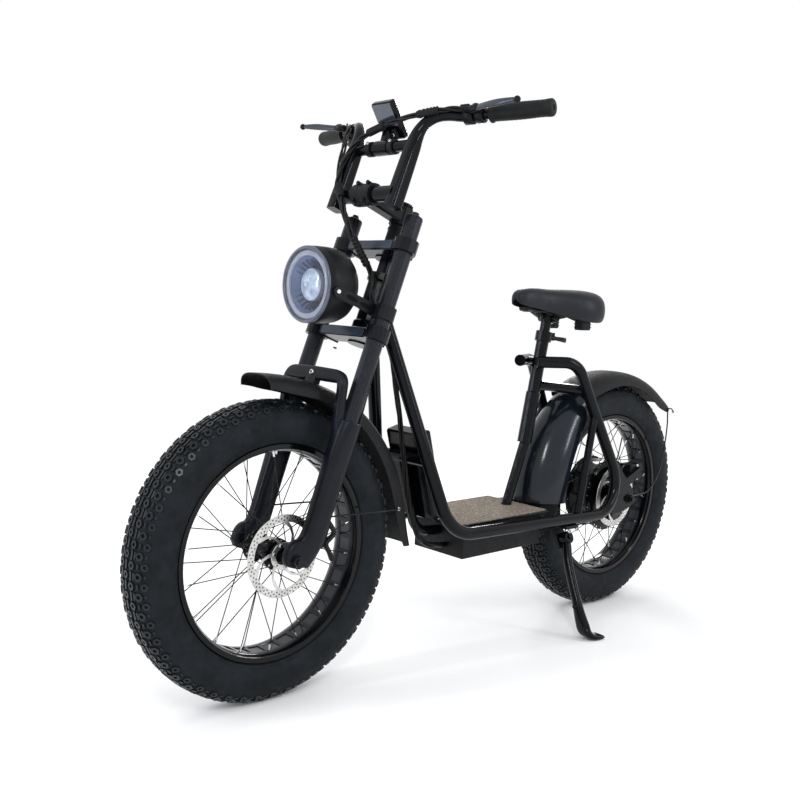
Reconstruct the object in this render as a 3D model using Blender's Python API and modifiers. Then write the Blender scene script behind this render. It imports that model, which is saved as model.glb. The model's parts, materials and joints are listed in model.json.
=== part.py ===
"""Fat tire electric scooter with two wheels in line, leaning on its side stand.

Units are metres. The bike's own frame has +X forward, +Y to its left and +Z up, with
its zero on the floor plane under the rear axle when it stands upright. Everything
hangs from the empty "bike", which leans it onto the stand and centres it on the floor.
Empties on the joint axes carry the moving pieces, in frames of their own.
"""
import math

import bmesh
import bpy
from mathutils import Matrix, Vector

GAP = 0.0003                 # between pieces that touch

# Stance
WHEELBASE = 1.0645
LEAN = math.radians(3.65)    # to the left, onto the stand
HEAD_TILT = math.radians(20.5)   # steering axis, back from the vertical
FORK_OFFSET = 0.0657         # axle ahead of the steering axis

# Wheels, one size front and rear
TYRE_R = 0.293
TYRE_HALF = 0.0495
TYRE_STEPS = 40
RIM_R = 0.2105
RIM_HALF = 0.0370
RIM_WELL_R = 0.1950
RIM_STEPS = 40
HUB_STEPS = 16
SPOKES = 36
SPOKE_R = 0.0013
SPOKE_LEAD = math.radians(62)    # how far round the hub a spoke starts from its place on the rim
SPOKE_LAYER = 0.0029             # crossing spokes pass side by side
SPOKE_RIM_Y = 0.0090
AXLE_R = 0.0060
AXLE_Z = TYRE_R
ROTOR_R = 0.0800
ROTOR_HALF = 0.0010
ROTOR_Y = 0.0560
FRONT_HUB_HALF = 0.0480
FRONT_FLANGE_R = 0.0300
MOTOR_R = 0.0880

# Fork and steering, in the steering frame: ahead of the axis, to the left, up along it
STEERER_R = 0.0143
STANCHION_AHEAD = 0.0420
STANCHION_Y = 0.0920
STANCHION_R = 0.0175
STANCHION_TOP = 0.7000
CAP_R = 0.0185
LEG_TOP = 0.2750
LEG_BORE_DEPTH = 0.0600
LOWER_CROWN = 0.4560
UPPER_CROWN = 0.6410
CROWN_H = 0.0260
HEAD_BOTTOM = 0.4750
HEAD_TOP = 0.5950
HEAD_R = 0.0240
CUP_R = 0.0280
CUP_H = 0.0140
STEM_ALONG = 0.7260
BAR_AHEAD = 0.1030
CROSSBAR_R = 0.0159
BAR_R = 0.0111
UPRIGHT_Y = 0.0880
LAMP_R = 0.0740
LAMP_AHEAD = 0.1755
LAMP_ALONG = 0.5035
LAMP_DEPTH = 0.0950
LAMP_CLAMP = 0.5000

# Frame tubes
RAIL_R = 0.0140
CROSS_R = 0.0125
STAY_R = 0.0095
RAIL_TOP = (0.7990, 0.0210, 0.7350)
RAIL_FRONT_CORNER = (0.6726, 0.1150, 0.2890)
RAIL_REAR_CORNER = (0.0050, 0.1030, 0.2640)
RAIL_UPPER_CORNER = (0.2150, 0.0720, 0.6460)
RAIL_END = (0.3330, 0.0330, 0.6460)
FRONT_BEND = 0.0900
REAR_BEND = 0.0800
UPPER_BEND = 0.0550
SEAT_TOP = (0.2590, 0.0, 0.7180)
SLEEVE_TOP = (0.2875, 0.0, 0.5710)
SLEEVE_BOTTOM = (0.3090, 0.0, 0.4480)
SEAT_TUBE_R = 0.0152
SLEEVE_R = 0.0175
STRUT_R = 0.0120
STRUT_FOOT = (0.3700, 0.0, 0.2920)
POST_R = 0.0127
POST_TOP = 0.0400            # seat post above the seat tube's mouth
POST_LENGTH = 0.2000

# Deck
DECK_Z = 0.3000
DECK_T = 0.0030
DECK_FRONT = 0.6260
DECK_REAR = 0.3240
DECK_HALF = 0.0960
GRIP_T = 0.0025
BOX_FRONT = 0.5935
BOX_REAR = 0.3300
BOX_HALF = 0.0770
BOX_BOTTOM = 0.2180

# Fenders
FENDER_T = 0.0025

# Stand
STAND_PIVOT = (0.2560, 0.1000, 0.2250)
STAND_FOOT = (0.2990, 0.2200)
STAND_LEG_R = 0.0110
STAND_EYE_R = 0.0150
STAND_EYE_HALF = 0.0125
STAND_BOLT_R = 0.0050
BRACKET_L = 0.0480
BRACKET_W = 0.0540
BRACKET_T = 0.0080
CHEEK_T = 0.0080
CHEEK_H = 0.0580
SOLE_SIZE = (0.0480, 0.0340, 0.0260)
STAND_AXIS = (0.0, 0.9040, 0.4280)
STAND_STOWED = math.radians(88)

# Values used by more than one piece
DROPOUT_Y = 0.0980
DROPOUT_T = 0.0060
DROPOUT_OUTLINE = ((0.0800, 0.3900), (0.0500, 0.3800), (-0.0160, 0.3150), (-0.0210, 0.2930), (-0.0120, 0.2740),
                   (0.0300, 0.2620), (0.1000, 0.2640), (0.0900, 0.2900), (0.0720, 0.3200), (0.0700, 0.3500))
STAY_TOP_Z = 0.5200
STAY_FOOT_X = 0.2250
REAR_CROSS_Z = 0.5770
FRONT_CROSS_Z = 0.4470
SPINE_R = 0.0110
SPINE_CORNER_Z = 0.2760
SPINE_END_Z = 0.2700
SPINE_BEND = 0.0500
SEAT_LUG_X = 0.2720
COLLAR_R = 0.0200
COLLAR_H = 0.0240
SADDLE_ROD_Y = 0.0220
# forward of the post, half width, top, bottom: all above the clamp
SADDLE_SECTIONS = ((0.1330, 0.0120, 0.0480, 0.0320), (0.1180, 0.0240, 0.0600, 0.0280), (0.0700, 0.0320, 0.0620, 0.0270),
                   (0.0200, 0.0470, 0.0600, 0.0240), (-0.0350, 0.0800, 0.0660, 0.0260), (-0.0850, 0.1020, 0.0720, 0.0310),
                   (-0.1250, 0.0900, 0.0720, 0.0330), (-0.1400, 0.0550, 0.0640, 0.0420))
BATTERY_SIZE = (0.0350, 0.1080, 0.2000)
BATTERY_MIDDLE_Z = 0.4000    # on the plane of the rails, which it lies behind
# degrees from ahead, radius, half width, how far the edges turn down
INNER_GUARD = ((2.0, 0.3180, 0.0700, 0.0900), (14.0, 0.3180, 0.0700, 0.0900), (26.0, 0.3180, 0.0690, 0.0880),
               (38.0, 0.3180, 0.0670, 0.0820), (49.0, 0.3180, 0.0640, 0.0700), (58.0, 0.3197, 0.0600, 0.0520),
               (64.0, 0.3220, 0.0570, 0.0380))
REAR_FENDER = ((61.5, 0.3248, 0.0600, 0.0300), (64.5, 0.3248, 0.0600, 0.0330), (75.0, 0.3250, 0.0600, 0.0370),
               (87.0, 0.3245, 0.0600, 0.0350), (99.0, 0.3255, 0.0600, 0.0330), (111.0, 0.3275, 0.0600, 0.0310),
               (122.0, 0.3310, 0.0600, 0.0300), (130.0, 0.3355, 0.0600, 0.0290), (136.5, 0.3420, 0.0590, 0.0270))
# wire stays of one side, each end first at the wheel's carrier and then on the fender
REAR_STAY = ((-0.0150, 0.0950, 0.2990), (-0.0700, 0.0830, 0.2940), (-0.1300, 0.0750, 0.2990), (-0.1800, 0.0700, 0.3450),
             (-0.2020, 0.0660, 0.4200), (-0.2210, 0.0615, 0.4900), (-0.2290, 0.0592, 0.5170))
FRONT_STAY = ((-0.0480, 0.0720, 0.0660), (-0.0900, 0.0690, 0.0660), (-0.1800, 0.0660, 0.0620), (-0.2740, 0.0610, 0.0575),
              (-0.2860, 0.0585, 0.0570))
STAY_WIRE_R = 0.0019
FRONT_FENDER = ((79.0, 0.3450, 0.0500, 0.0150), (88.0, 0.3380, 0.0560, 0.0230), (100.0, 0.3345, 0.0580, 0.0210),
                (112.0, 0.3330, 0.0580, 0.0200), (126.0, 0.3325, 0.0580, 0.0280), (140.0, 0.3325, 0.0580, 0.0380),
                (156.0, 0.3330, 0.0580, 0.0460), (170.0, 0.3345, 0.0575, 0.0460), (179.0, 0.3400, 0.0560, 0.0390),
                (186.0, 0.3530, 0.0530, 0.0250))
FENDER_TAB = (0.0180, 0.0300)
FENDER_TAB_FOOT = 0.3305
STEERER_TOP = 0.7500
# along, ahead, to the side, half length, half width
LEG_SECTIONS = ((LEG_TOP, 0.0420, 0.0920, 0.0255, 0.0240), (0.2450, 0.0400, 0.0915, 0.0275, 0.0220),
                (0.1200, 0.0400, 0.0900, 0.0295, 0.0195), (0.0400, 0.0440, 0.0880, 0.0260, 0.0170),
                (0.0050, 0.0560, 0.0860, 0.0200, 0.0130), (-0.0200, 0.0620, 0.0860, 0.0130, 0.0110))
LEG_FOOT_Y = 0.0860
LEG_FOOT_HALF_Y = 0.0130
ARCH_POINTS = ((0.0500, 0.0860, 0.2400), (0.0620, 0.0860, 0.2800), (0.0860, 0.0860, 0.3300), (0.0960, 0.0800, 0.3540),
               (0.1020, 0.0600, 0.3620), (0.1050, 0.0, 0.3680))
ARCH_HALVES = ((0.0140, 0.0120, 0.5), (0.0140, 0.0100, 0.5), (0.0140, 0.0075, 0.5), (0.0140, 0.0070, 0.5),
               (0.0140, 0.0065, 0.5), (0.0140, 0.0060, 0.5))
# ahead, up: side plates from the stanchion clamps to the lamp's bolts
LAMP_ARM = ((0.0350, 0.4880), (0.0600, 0.4880), (0.1000, 0.4900), (0.1560, 0.4880), (0.1660, 0.4980), (0.1560, 0.5100),
            (0.1000, 0.5120), (0.0600, 0.5130), (0.0350, 0.5130))
ARM_T = 0.0035
LAMP_BOLT = (0.1560, 0.4990)
UPPER_BAR_AHEAD = 0.0980
UPPER_BAR_ALONG = 0.8320
# ahead, to the side, along, half width, half depth, squareness
BAR_STATIONS = ((0.1010, 0.0880, 0.6970, 0.0155, 0.0145, 0.35), (0.0990, 0.0880, 0.8300, 0.0140, 0.0130, 0.45),
                (0.0990, 0.0890, 0.8550, 0.0128, 0.0125, 0.70), (0.0980, 0.0960, 0.8780, 0.0115, 0.0115, 1.0),
                (0.0920, 0.1120, 0.8950, 0.0111, 0.0111, 1.0), (0.0800, 0.1350, 0.9030, 0.0111, 0.0111, 1.0),
                (0.0583, 0.1650, 0.9067, 0.0111, 0.0111, 1.0),
                (0.0164, 0.3300, 0.9284, 0.0111, 0.0111, 1.0))
GRIP_START = (0.0450, 0.2175, 0.9136)
GRIP_END = (0.0164, 0.3300, 0.9284)
DISPLAY_SIZE = (0.0160, 0.0600, 0.0800)
DISPLAY_CENTRE = (0.1060, 0.0, 0.8900)
DISPLAY_TILT = math.radians(33)
FRONT_CALIPER_SIZE = (0.0400, 0.0250, 0.0520)
FRONT_CALIPER = (0.0050, 0.0572, 0.0600)
CALIPER_FOOT_SIZE = (0.0260, 0.0180, 0.0300)
CALIPER_FOOT = (0.0290, 0.0740, 0.0600)
REAR_CALIPER_SIZE = (0.0520, 0.0385, 0.0400)
REAR_CALIPER = (-0.0480, 0.0668, 0.3570)
REAR_AXLE_HALF = 0.1150
AXLE_BORE = AXLE_R + GAP
ROTOR_SEAT = ROTOR_Y - ROTOR_HALF - GAP
FRONT_HUB = ((0.0230, ROTOR_SEAT), (0.0230, 0.0450), (0.0160, 0.0420), (0.0160, 0.0370), (FRONT_FLANGE_R, 0.0350),
             (FRONT_FLANGE_R, 0.0290), (0.0150, 0.0260), (0.0150, -0.0260), (FRONT_FLANGE_R, -0.0290),
             (FRONT_FLANGE_R, -0.0350), (0.0160, -0.0370), (0.0140, -FRONT_HUB_HALF), (AXLE_BORE, -FRONT_HUB_HALF),
             (AXLE_BORE, ROTOR_SEAT))
REAR_HUB = ((0.0230, ROTOR_SEAT), (0.0230, 0.0440), (0.0600, 0.0415), (0.0820, 0.0375), (MOTOR_R, 0.0340),
            (MOTOR_R + 0.006, 0.0340), (MOTOR_R + 0.006, 0.0260), (MOTOR_R, 0.0250), (MOTOR_R, -0.0250),
            (MOTOR_R + 0.006, -0.0260), (MOTOR_R + 0.006, -0.0340), (MOTOR_R, -0.0340), (0.0820, -0.0400),
            (0.0600, -0.0460), (0.0200, -0.0520), (AXLE_BORE, -0.0520), (AXLE_BORE, ROTOR_SEAT))

FINISHES = {
    # name: colour, roughness, metallic
    "gloss_black": ((0.010, 0.011, 0.015), 0.20, 0.0),
    "matt_black": ((0.020, 0.021, 0.023), 0.55, 0.0),
    "rubber": ((0.016, 0.017, 0.018), 0.80, 0.0),
    "steel": ((0.560, 0.560, 0.570), 0.30, 1.0),
    "grip_tape": ((0.300, 0.260, 0.210), 0.95, 0.0),
    "vinyl": ((0.030, 0.033, 0.045), 0.45, 0.0),
    "lens": ((0.350, 0.400, 0.550), 0.10, 0.0),
    "cable": ((0.012, 0.012, 0.013), 0.50, 0.0),
}


def vec(point):
    return Vector(point)


def mirrored(point):
    return (point[0], -point[1], point[2])


def clear_scene():
    for obj in list(bpy.data.objects):
        bpy.data.objects.remove(obj, do_unlink=True)


def make_materials():
    made = {}
    for name, (colour, roughness, metallic) in FINISHES.items():
        material = bpy.data.materials.new(name)
        material.use_nodes = True
        shader = material.node_tree.nodes["Principled BSDF"]
        shader.inputs["Base Color"].default_value = (*colour, 1.0)
        shader.inputs["Roughness"].default_value = roughness
        shader.inputs["Metallic"].default_value = metallic
        material.diffuse_color = (*colour, 1.0)
        made[name] = material
    return made


def make_collections():
    parts = bpy.data.collections.new("fat_tire_electric_scooter")
    cutters = bpy.data.collections.new("cutters")
    for collection in (parts, cutters):
        bpy.context.scene.collection.children.link(collection)
    return parts, cutters


def add_empty(name, parent=None, location=(0, 0, 0), tilt=0.0):
    empty = bpy.data.objects.new(name, None)
    empty.empty_display_size = 0.05
    empty.parent = parent
    empty.location = location
    empty.rotation_euler = (0, tilt, 0)
    PARTS.objects.link(empty)
    return empty


def add(name, data, finish, parent):
    """Link a piece and give it its material; a cutter has no finish."""
    obj = bpy.data.objects.new(name, data)
    obj.parent = parent
    if finish:
        PARTS.objects.link(obj)
        obj.data.materials.append(MATERIALS[finish])
    else:
        CUTTERS.objects.link(obj)
        obj.hide_render = True
        obj.display_type = "WIRE"
    return obj


def mesh_from(bm, name, smooth=None):
    mesh = bpy.data.meshes.new(name)
    bm.to_mesh(mesh)
    bm.free()
    if smooth:
        mesh.shade_smooth()
        mesh.set_sharp_from_angle(angle=math.radians(smooth))
    return mesh


def along(start, end):
    """Matrix that lays a shape centred on Z between two points."""
    start, end = vec(start), vec(end)
    turn = (end - start).to_track_quat("Z", "Y").to_matrix().to_4x4()
    return Matrix.Translation((start + end) / 2) @ turn


def rod(name, start, end, radius, finish, parent, end_radius=None, sides=12):
    """A round bar or cone between two points."""
    bm = bmesh.new()
    bmesh.ops.create_cone(bm, cap_ends=True, segments=sides, radius1=radius,
                          radius2=radius if end_radius is None else end_radius,
                          depth=(vec(end) - vec(start)).length)
    bm.transform(along(start, end))
    return add(name, mesh_from(bm, name, 40), finish, parent)


def rods(name, pairs, radius, parent, sides=4):
    """Many thin round bars that don't touch, as one form to weld on."""
    bm = bmesh.new()
    for start, end in pairs:
        bar = bmesh.ops.create_cone(bm, cap_ends=True, segments=sides, radius1=radius, radius2=radius,
                                    depth=(vec(end) - vec(start)).length)
        bmesh.ops.transform(bm, verts=bar["verts"], matrix=along(start, end))
    return add(name, mesh_from(bm, name), None, parent)


def block(name, size, centre, finish, parent, turn=None, bevel=0.0, taper=(1.0, 1.0)):
    """A box, its top scaled in X and Y by taper, its edges rounded by bevel."""
    bm = bmesh.new()
    bmesh.ops.create_cube(bm, size=1.0)
    for vert in bm.verts:
        scale = taper if vert.co.z > 0 else (1.0, 1.0)
        vert.co = (vert.co.x * size[0] * scale[0], vert.co.y * size[1] * scale[1], vert.co.z * size[2])
    if turn:
        bm.transform(turn)
    bmesh.ops.translate(bm, verts=bm.verts, vec=centre)
    obj = add(name, mesh_from(bm, name), finish, parent)
    if bevel:
        rounding = obj.modifiers.new("rounding", "BEVEL")
        rounding.width = bevel
        rounding.segments = 1
        rounding.limit_method = "ANGLE"
    return obj


def turned(name, profile, steps, finish, parent, matrix=None, smooth=True):
    """Turn a closed profile of (radius, height) about Z; it runs down the outer side."""
    bm = bmesh.new()
    verts = [bm.verts.new((radius, 0, height)) for radius, height in profile]
    for first, second in zip(verts, verts[1:] + verts[:1]):
        if first.co.x > 0 or second.co.x > 0:
            bm.edges.new((first, second))
    obj = add(name, mesh_from(bm, name), finish, parent)
    if matrix:
        obj.matrix_local = matrix
    turn = obj.modifiers.new("turn", "SCREW")
    turn.axis = "Z"
    turn.angle = math.tau
    turn.steps = turn.render_steps = steps
    turn.use_merge_vertices = True
    turn.merge_threshold = 0.00001
    turn.use_smooth_shade = smooth
    return obj


def rounded(corners, steps=6):
    """Points of a path through (point, bend radius) corners, its bends as arcs."""
    path = [vec(point) for point, _ in corners]
    points = [path[0]]
    for before, here, after, (_, radius) in zip(path, path[1:], path[2:], corners[1:-1]):
        back = (before - here).normalized()
        on = (after - here).normalized()
        half = back.angle(on) / 2
        reach = radius / math.tan(half)
        centre = here + (back + on).normalized() * radius / math.sin(half)
        first, last = here + back * reach - centre, here + on * reach - centre
        sweep = first.angle(last)
        for step in range(steps + 1):
            share = step / steps
            arc = (first * math.sin((1 - share) * sweep) + last * math.sin(share * sweep)) / math.sin(sweep)
            points.append(centre + arc)
    points.append(path[-1])
    return points


def smooth_route(points, count):
    """Points at even steps on a Catmull-Rom curve through the given ones."""
    knots = [vec(point) for point in points]
    knots = [2 * knots[0] - knots[1]] + knots + [2 * knots[-1] - knots[-2]]
    spans = len(knots) - 3
    route = []
    for index in range(count):
        place = index / (count - 1) * spans
        span = min(int(place), spans - 1)
        t = place - span
        a, b, c, d = knots[span:span + 4]
        route.append(0.5 * (2 * b + (c - a) * t + (2 * a - 5 * b + 4 * c - d) * t * t
                            + (3 * b - a - 3 * c + d) * t ** 3))
    return route


def tube(name, points, radius, finish, parent, sides=12):
    """A round tube or wire along a path of points."""
    curve = bpy.data.curves.new(name, "CURVE")
    curve.dimensions = "3D"
    spline = curve.splines.new("POLY")
    spline.points.add(len(points) - 1)
    for knot, point in zip(spline.points, points):
        knot.co = (*point, 1.0)
    curve.bevel_depth = radius
    curve.bevel_resolution = sides // 2 - 2
    curve.use_fill_caps = True
    return add(name, curve, finish, parent)


def as_mesh(curve_obj):
    """The same piece as a closed mesh, so that it can be cut or joined."""
    bpy.context.view_layer.update()
    evaluated = curve_obj.evaluated_get(bpy.context.evaluated_depsgraph_get())
    mesh = bpy.data.meshes.new_from_object(evaluated)
    bm = bmesh.new()
    bm.from_mesh(mesh)
    bmesh.ops.remove_doubles(bm, verts=bm.verts, dist=0.00001)
    bm.to_mesh(mesh)
    bm.free()
    mesh.shade_smooth()
    mesh.set_sharp_from_angle(angle=math.radians(40))
    name, parent, users = curve_obj.name, curve_obj.parent, list(curve_obj.users_collection)
    hidden, display = curve_obj.hide_render, curve_obj.display_type
    matrix = curve_obj.matrix_world.copy()
    bpy.data.objects.remove(curve_obj, do_unlink=True)
    obj = bpy.data.objects.new(name, mesh)
    for collection in users:
        collection.objects.link(obj)
    obj.hide_render, obj.display_type = hidden, display
    obj.parent = parent
    obj.matrix_world = matrix
    return obj


def combine(obj, other, operation):
    """Cut another solid out of a piece, or weld it on; the other becomes a hidden tool."""
    for collection in list(other.users_collection):
        collection.objects.unlink(other)
    CUTTERS.objects.link(other)
    other.hide_render = True
    other.display_type = "WIRE"
    step = obj.modifiers.new(operation.lower(), "BOOLEAN")
    step.operation = operation
    step.solver = "EXACT"
    step.object = other
    return obj


def cut(obj, *others):
    for other in others:
        combine(obj, other, "DIFFERENCE")
    return obj


def weld(obj, *others):
    for other in others:
        combine(obj, other, "UNION")
    return obj


def shell(name, rows, thickness, finish, parent, matrix=None, smooth=50):
    """A sheet through rows of points, made solid on its inner side."""
    bm = bmesh.new()
    grid = [[bm.verts.new(point) for point in row] for row in rows]
    for lower, upper in zip(grid, grid[1:]):
        for a, b, c, d in zip(lower, lower[1:], upper[1:], upper):
            bm.faces.new((a, b, c, d))
    bmesh.ops.recalc_face_normals(bm, faces=bm.faces)
    if matrix:
        bm.transform(matrix)
    obj = add(name, mesh_from(bm, name, smooth), finish, parent)
    solid = obj.modifiers.new("sheet", "SOLIDIFY")
    solid.thickness = thickness
    solid.offset = 0.0
    solid.use_even_offset = True
    return obj


def lofted(name, rows, finish, parent, matrix=None, smooth=50):
    """A closed solid through rings of equal numbers of points, capped at both ends."""
    bm = bmesh.new()
    rings = [[bm.verts.new(point) for point in row] for row in rows]
    for lower, upper in zip(rings, rings[1:]):
        for index in range(len(lower)):
            after = (index + 1) % len(lower)
            bm.faces.new((lower[index], lower[after], upper[after], upper[index]))
    bm.faces.new(rings[0])
    bm.faces.new(rings[-1])
    bmesh.ops.recalc_face_normals(bm, faces=bm.faces)
    if matrix:
        bm.transform(matrix)
    return add(name, mesh_from(bm, name, smooth), finish, parent)


def oval(centre, half_x, half_y, sides=12, power=0.75):
    """A level ring with softly squared corners."""
    ring = []
    for index in range(sides):
        angle = (index + 0.5) * math.tau / sides
        c, s = math.cos(angle), math.sin(angle)
        ring.append((centre[0] + half_x * math.copysign(abs(c) ** power, c),
                     centre[1] + half_y * math.copysign(abs(s) ** power, s), centre[2]))
    return ring


ACROSS = Matrix.Rotation(math.radians(-90), 4, "X")      # lays a turned piece's axis along +Y


def tyre_profile():
    """Half section from the bead to the crown: radius, distance from the middle."""
    bulge_r = 0.2450
    return ((RIM_R + 0.0003, RIM_HALF - 0.0045), (RIM_R + 0.0060, 0.0410), (bulge_r - 0.0150, 0.0480),
            (bulge_r, TYRE_HALF), (bulge_r + 0.0180, 0.0470), (TYRE_R - 0.0150, 0.0410), (TYRE_R - 0.0060, 0.0310),
            (TYRE_R - 0.0012, 0.0170), (TYRE_R, 0.0))


def make_wheel(end, hub_profile, parent, spoke_circle, flange_y):
    """Tyre, spoked rim and brake rotor of one wheel, on its axle's empty."""
    half = tyre_profile()
    bed = (RIM_R - 0.0095, RIM_HALF - 0.0045)
    section = [bed, *half] + [(r, -y) for r, y in half[-2::-1]] + [(bed[0], -bed[1])]
    facet = Matrix.Rotation(math.pi / 2 + math.pi / TYRE_STEPS, 4, "Y")
    turned(f"{end}_tyre", section, TYRE_STEPS, "rubber", parent, matrix=facet @ ACROSS)
    lip = RIM_HALF - 0.0040
    rim = [(RIM_R, RIM_HALF), (RIM_R, lip), (bed[0] - GAP, lip), (bed[0] - GAP, -lip), (RIM_R, -lip),
           (RIM_R, -RIM_HALF), (RIM_WELL_R + 0.0060, -RIM_HALF), (RIM_WELL_R, -RIM_HALF + 0.0080),
           (RIM_WELL_R, RIM_HALF - 0.0080), (RIM_WELL_R + 0.0060, RIM_HALF)]
    wheel = turned(f"{end}_rim", rim, RIM_STEPS, "gloss_black", parent, matrix=facet @ ACROSS)
    hub = turned(f"{end}_hub_form", hub_profile, HUB_STEPS, None, parent, matrix=ACROSS)
    spokes = []
    for index in range(SPOKES):
        side = 1 if index % 2 == 0 else -1
        lead = 1 if index % 4 < 2 else -1
        rim_angle = (index + 0.5) * math.tau / SPOKES
        hub_angle = rim_angle + lead * SPOKE_LEAD
        layer = flange_y + lead * SPOKE_LAYER
        inner = (spoke_circle * math.cos(hub_angle), side * layer, spoke_circle * math.sin(hub_angle))
        reach = RIM_WELL_R + 0.0020
        outer = (reach * math.cos(rim_angle), side * SPOKE_RIM_Y, reach * math.sin(rim_angle))
        spokes.append((inner, outer))
    return weld(wheel, hub, rods(f"{end}_spokes_form", spokes, SPOKE_R, parent))


def flat(name, outlines, thickness, finish, parent, matrix=None):
    """A plate: flat closed outlines, the inner ones as holes, with its thickness about them."""
    curve = bpy.data.curves.new(name, "CURVE")
    curve.dimensions = "2D"
    curve.fill_mode = "BOTH"
    curve.extrude = thickness / 2
    for outline in outlines:
        spline = curve.splines.new("POLY")
        spline.points.add(len(outline) - 1)
        for knot, point in zip(spline.points, outline):
            knot.co = (point[0], point[1], 0.0, 1.0)
        spline.use_cyclic_u = True
    obj = add(name, curve, finish, parent)
    if matrix:
        obj.matrix_local = matrix
    return obj


def circle(radius, count, centre=(0.0, 0.0), turn=0.0):
    return [(centre[0] + radius * math.cos(turn + index * math.tau / count),
             centre[1] + radius * math.sin(turn + index * math.tau / count)) for index in range(count)]


def sweep(name, stations, finish, parent, across=(1, 0, 0), sides=12):
    """A bar whose section changes: (point, half width across, half depth, squareness)."""
    rows = []
    for index, (point, wide, deep, power) in enumerate(stations):
        before = stations[max(index - 1, 0)][0]
        after = stations[min(index + 1, len(stations) - 1)][0]
        run = (vec(after) - vec(before)).normalized()
        side = (vec(across) - run * vec(across).dot(run)).normalized()
        up = run.cross(side)
        rows.append([vec(point) + side * x + up * y for x, y, _ in oval((0, 0, 0), wide, deep, sides, power)])
    return lofted(name, rows, finish, parent)


def pin(name, profile, finish, parent, start, end, steps=16):
    """A solid turned about a line; its profile is (radius, distance from the start)."""
    run = vec(end) - vec(start)
    matrix = Matrix.Translation(vec(start)) @ run.to_track_quat("Z", "Y").to_matrix().to_4x4()
    return turned(name, profile, steps, finish, parent, matrix=matrix)


def rail_path(side):
    corners = [(RAIL_TOP, 0), (RAIL_FRONT_CORNER, FRONT_BEND), (RAIL_REAR_CORNER, REAR_BEND),
               (RAIL_UPPER_CORNER, UPPER_BEND), (RAIL_END, 0)]
    return rounded([((p[0], side * p[1], p[2]), radius) for p, radius in corners], 5)


def between(first, second, share):
    return vec(first).lerp(vec(second), share)


def at_height(first, second, z):
    return between(first, second, (z - first[2]) / (second[2] - first[2]))


def make_frame(bike):
    """The welded tube frame, from the head tube to the rear axle plates."""
    head = add_empty("head_axis", bike, steer_origin(), -HEAD_TILT)
    bore = STEERER_R + GAP
    turned("head_tube", [(CUP_R, HEAD_TOP), (CUP_R, HEAD_TOP - CUP_H), (HEAD_R, HEAD_TOP - CUP_H - 0.004),
                         (HEAD_R, HEAD_BOTTOM + CUP_H + 0.004), (CUP_R, HEAD_BOTTOM + CUP_H),
                         (CUP_R, HEAD_BOTTOM), (bore, HEAD_BOTTOM), (bore, HEAD_TOP)],
           18, "gloss_black", head)
    for side, word in ((1, "left"), (-1, "right")):
        rail = as_mesh(tube(f"frame_rail_{word}", rail_path(side), RAIL_R, "gloss_black", bike, sides=10))
        cut(rail, rod(f"rail_head_clearance_{word}", (0, 0, HEAD_BOTTOM - 0.03), (0, 0, HEAD_TOP), HEAD_R + GAP * 1.5,
                      None, head, sides=24))
        y = side * DROPOUT_Y
        plate = flat(f"dropout_form_{word}", [DROPOUT_OUTLINE, circle(AXLE_R + GAP, 16, (0.0, AXLE_Z))],
                     DROPOUT_T, None, bike, Matrix.Translation((0, y, 0)) @ Matrix.Rotation(math.pi / 2, 4, "X"))
        weld(rail, as_mesh(plate))
        low, high = vec(RAIL_REAR_CORNER), vec(RAIL_UPPER_CORNER)
        top = at_height(low, high, STAY_TOP_Z)
        foot = at_height_x(vec(RAIL_REAR_CORNER), vec(RAIL_FRONT_CORNER), STAY_FOOT_X)
        stay = rod(f"stay_{word}", (top.x, side * top.y, top.z), (foot.x, side * foot.y, foot.z), STAY_R,
                   "gloss_black", bike)
        cut(stay, *rail_clearances(side, bike, f"stay_{word}"))
    cross = rod("rear_cross_tube", (*cross_at(REAR_CROSS_Z, -1),), (*cross_at(REAR_CROSS_Z, 1),), CROSS_R,
                "gloss_black", bike)
    cut(cross, *rail_clearances(1, bike, "rear_cross_a"), *rail_clearances(-1, bike, "rear_cross_b"))
    front = at_height(RAIL_TOP, RAIL_FRONT_CORNER, FRONT_CROSS_Z)
    cross = rod("front_cross_tube", mirrored(front), front, CROSS_R, "gloss_black", bike)
    corner = at_height(RAIL_TOP, RAIL_FRONT_CORNER, SPINE_CORNER_Z)
    spine = rounded([((front.x, 0, front.z), 0), ((corner.x, 0, corner.z), SPINE_BEND),
                     ((BOX_FRONT - 0.004, 0, SPINE_END_Z), 0)], 6)
    weld(cross, as_mesh(tube("spine_form", spine, SPINE_R, None, bike, sides=10)))
    cut(cross, *rail_clearances(1, bike, "front_cross_a"), *rail_clearances(-1, bike, "front_cross_b"),
        block("spine_trim", (0.02, 0.05, 0.05), (BOX_FRONT + GAP - 0.01, 0, SPINE_END_Z), None, bike))


def at_height_x(first, second, x):
    return first.lerp(second, (x - first.x) / (second.x - first.x))


def cross_at(z, side):
    point = at_height(RAIL_REAR_CORNER, RAIL_UPPER_CORNER, z)
    return (point.x, side * point.y, point.z)


def rail_clearances(side, bike, name):
    """The straight runs of one rail, a touch thicker, to shape what is welded to them."""
    runs = ((RAIL_TOP, RAIL_FRONT_CORNER), (RAIL_FRONT_CORNER, RAIL_REAR_CORNER),
            (RAIL_REAR_CORNER, RAIL_UPPER_CORNER))
    return [rod(f"{name}_seat_{index}", (a[0], side * a[1], a[2]), (b[0], side * b[1], b[2]),
                RAIL_R + GAP * 1.5, None, bike, sides=16) for index, (a, b) in enumerate(runs)]


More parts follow.
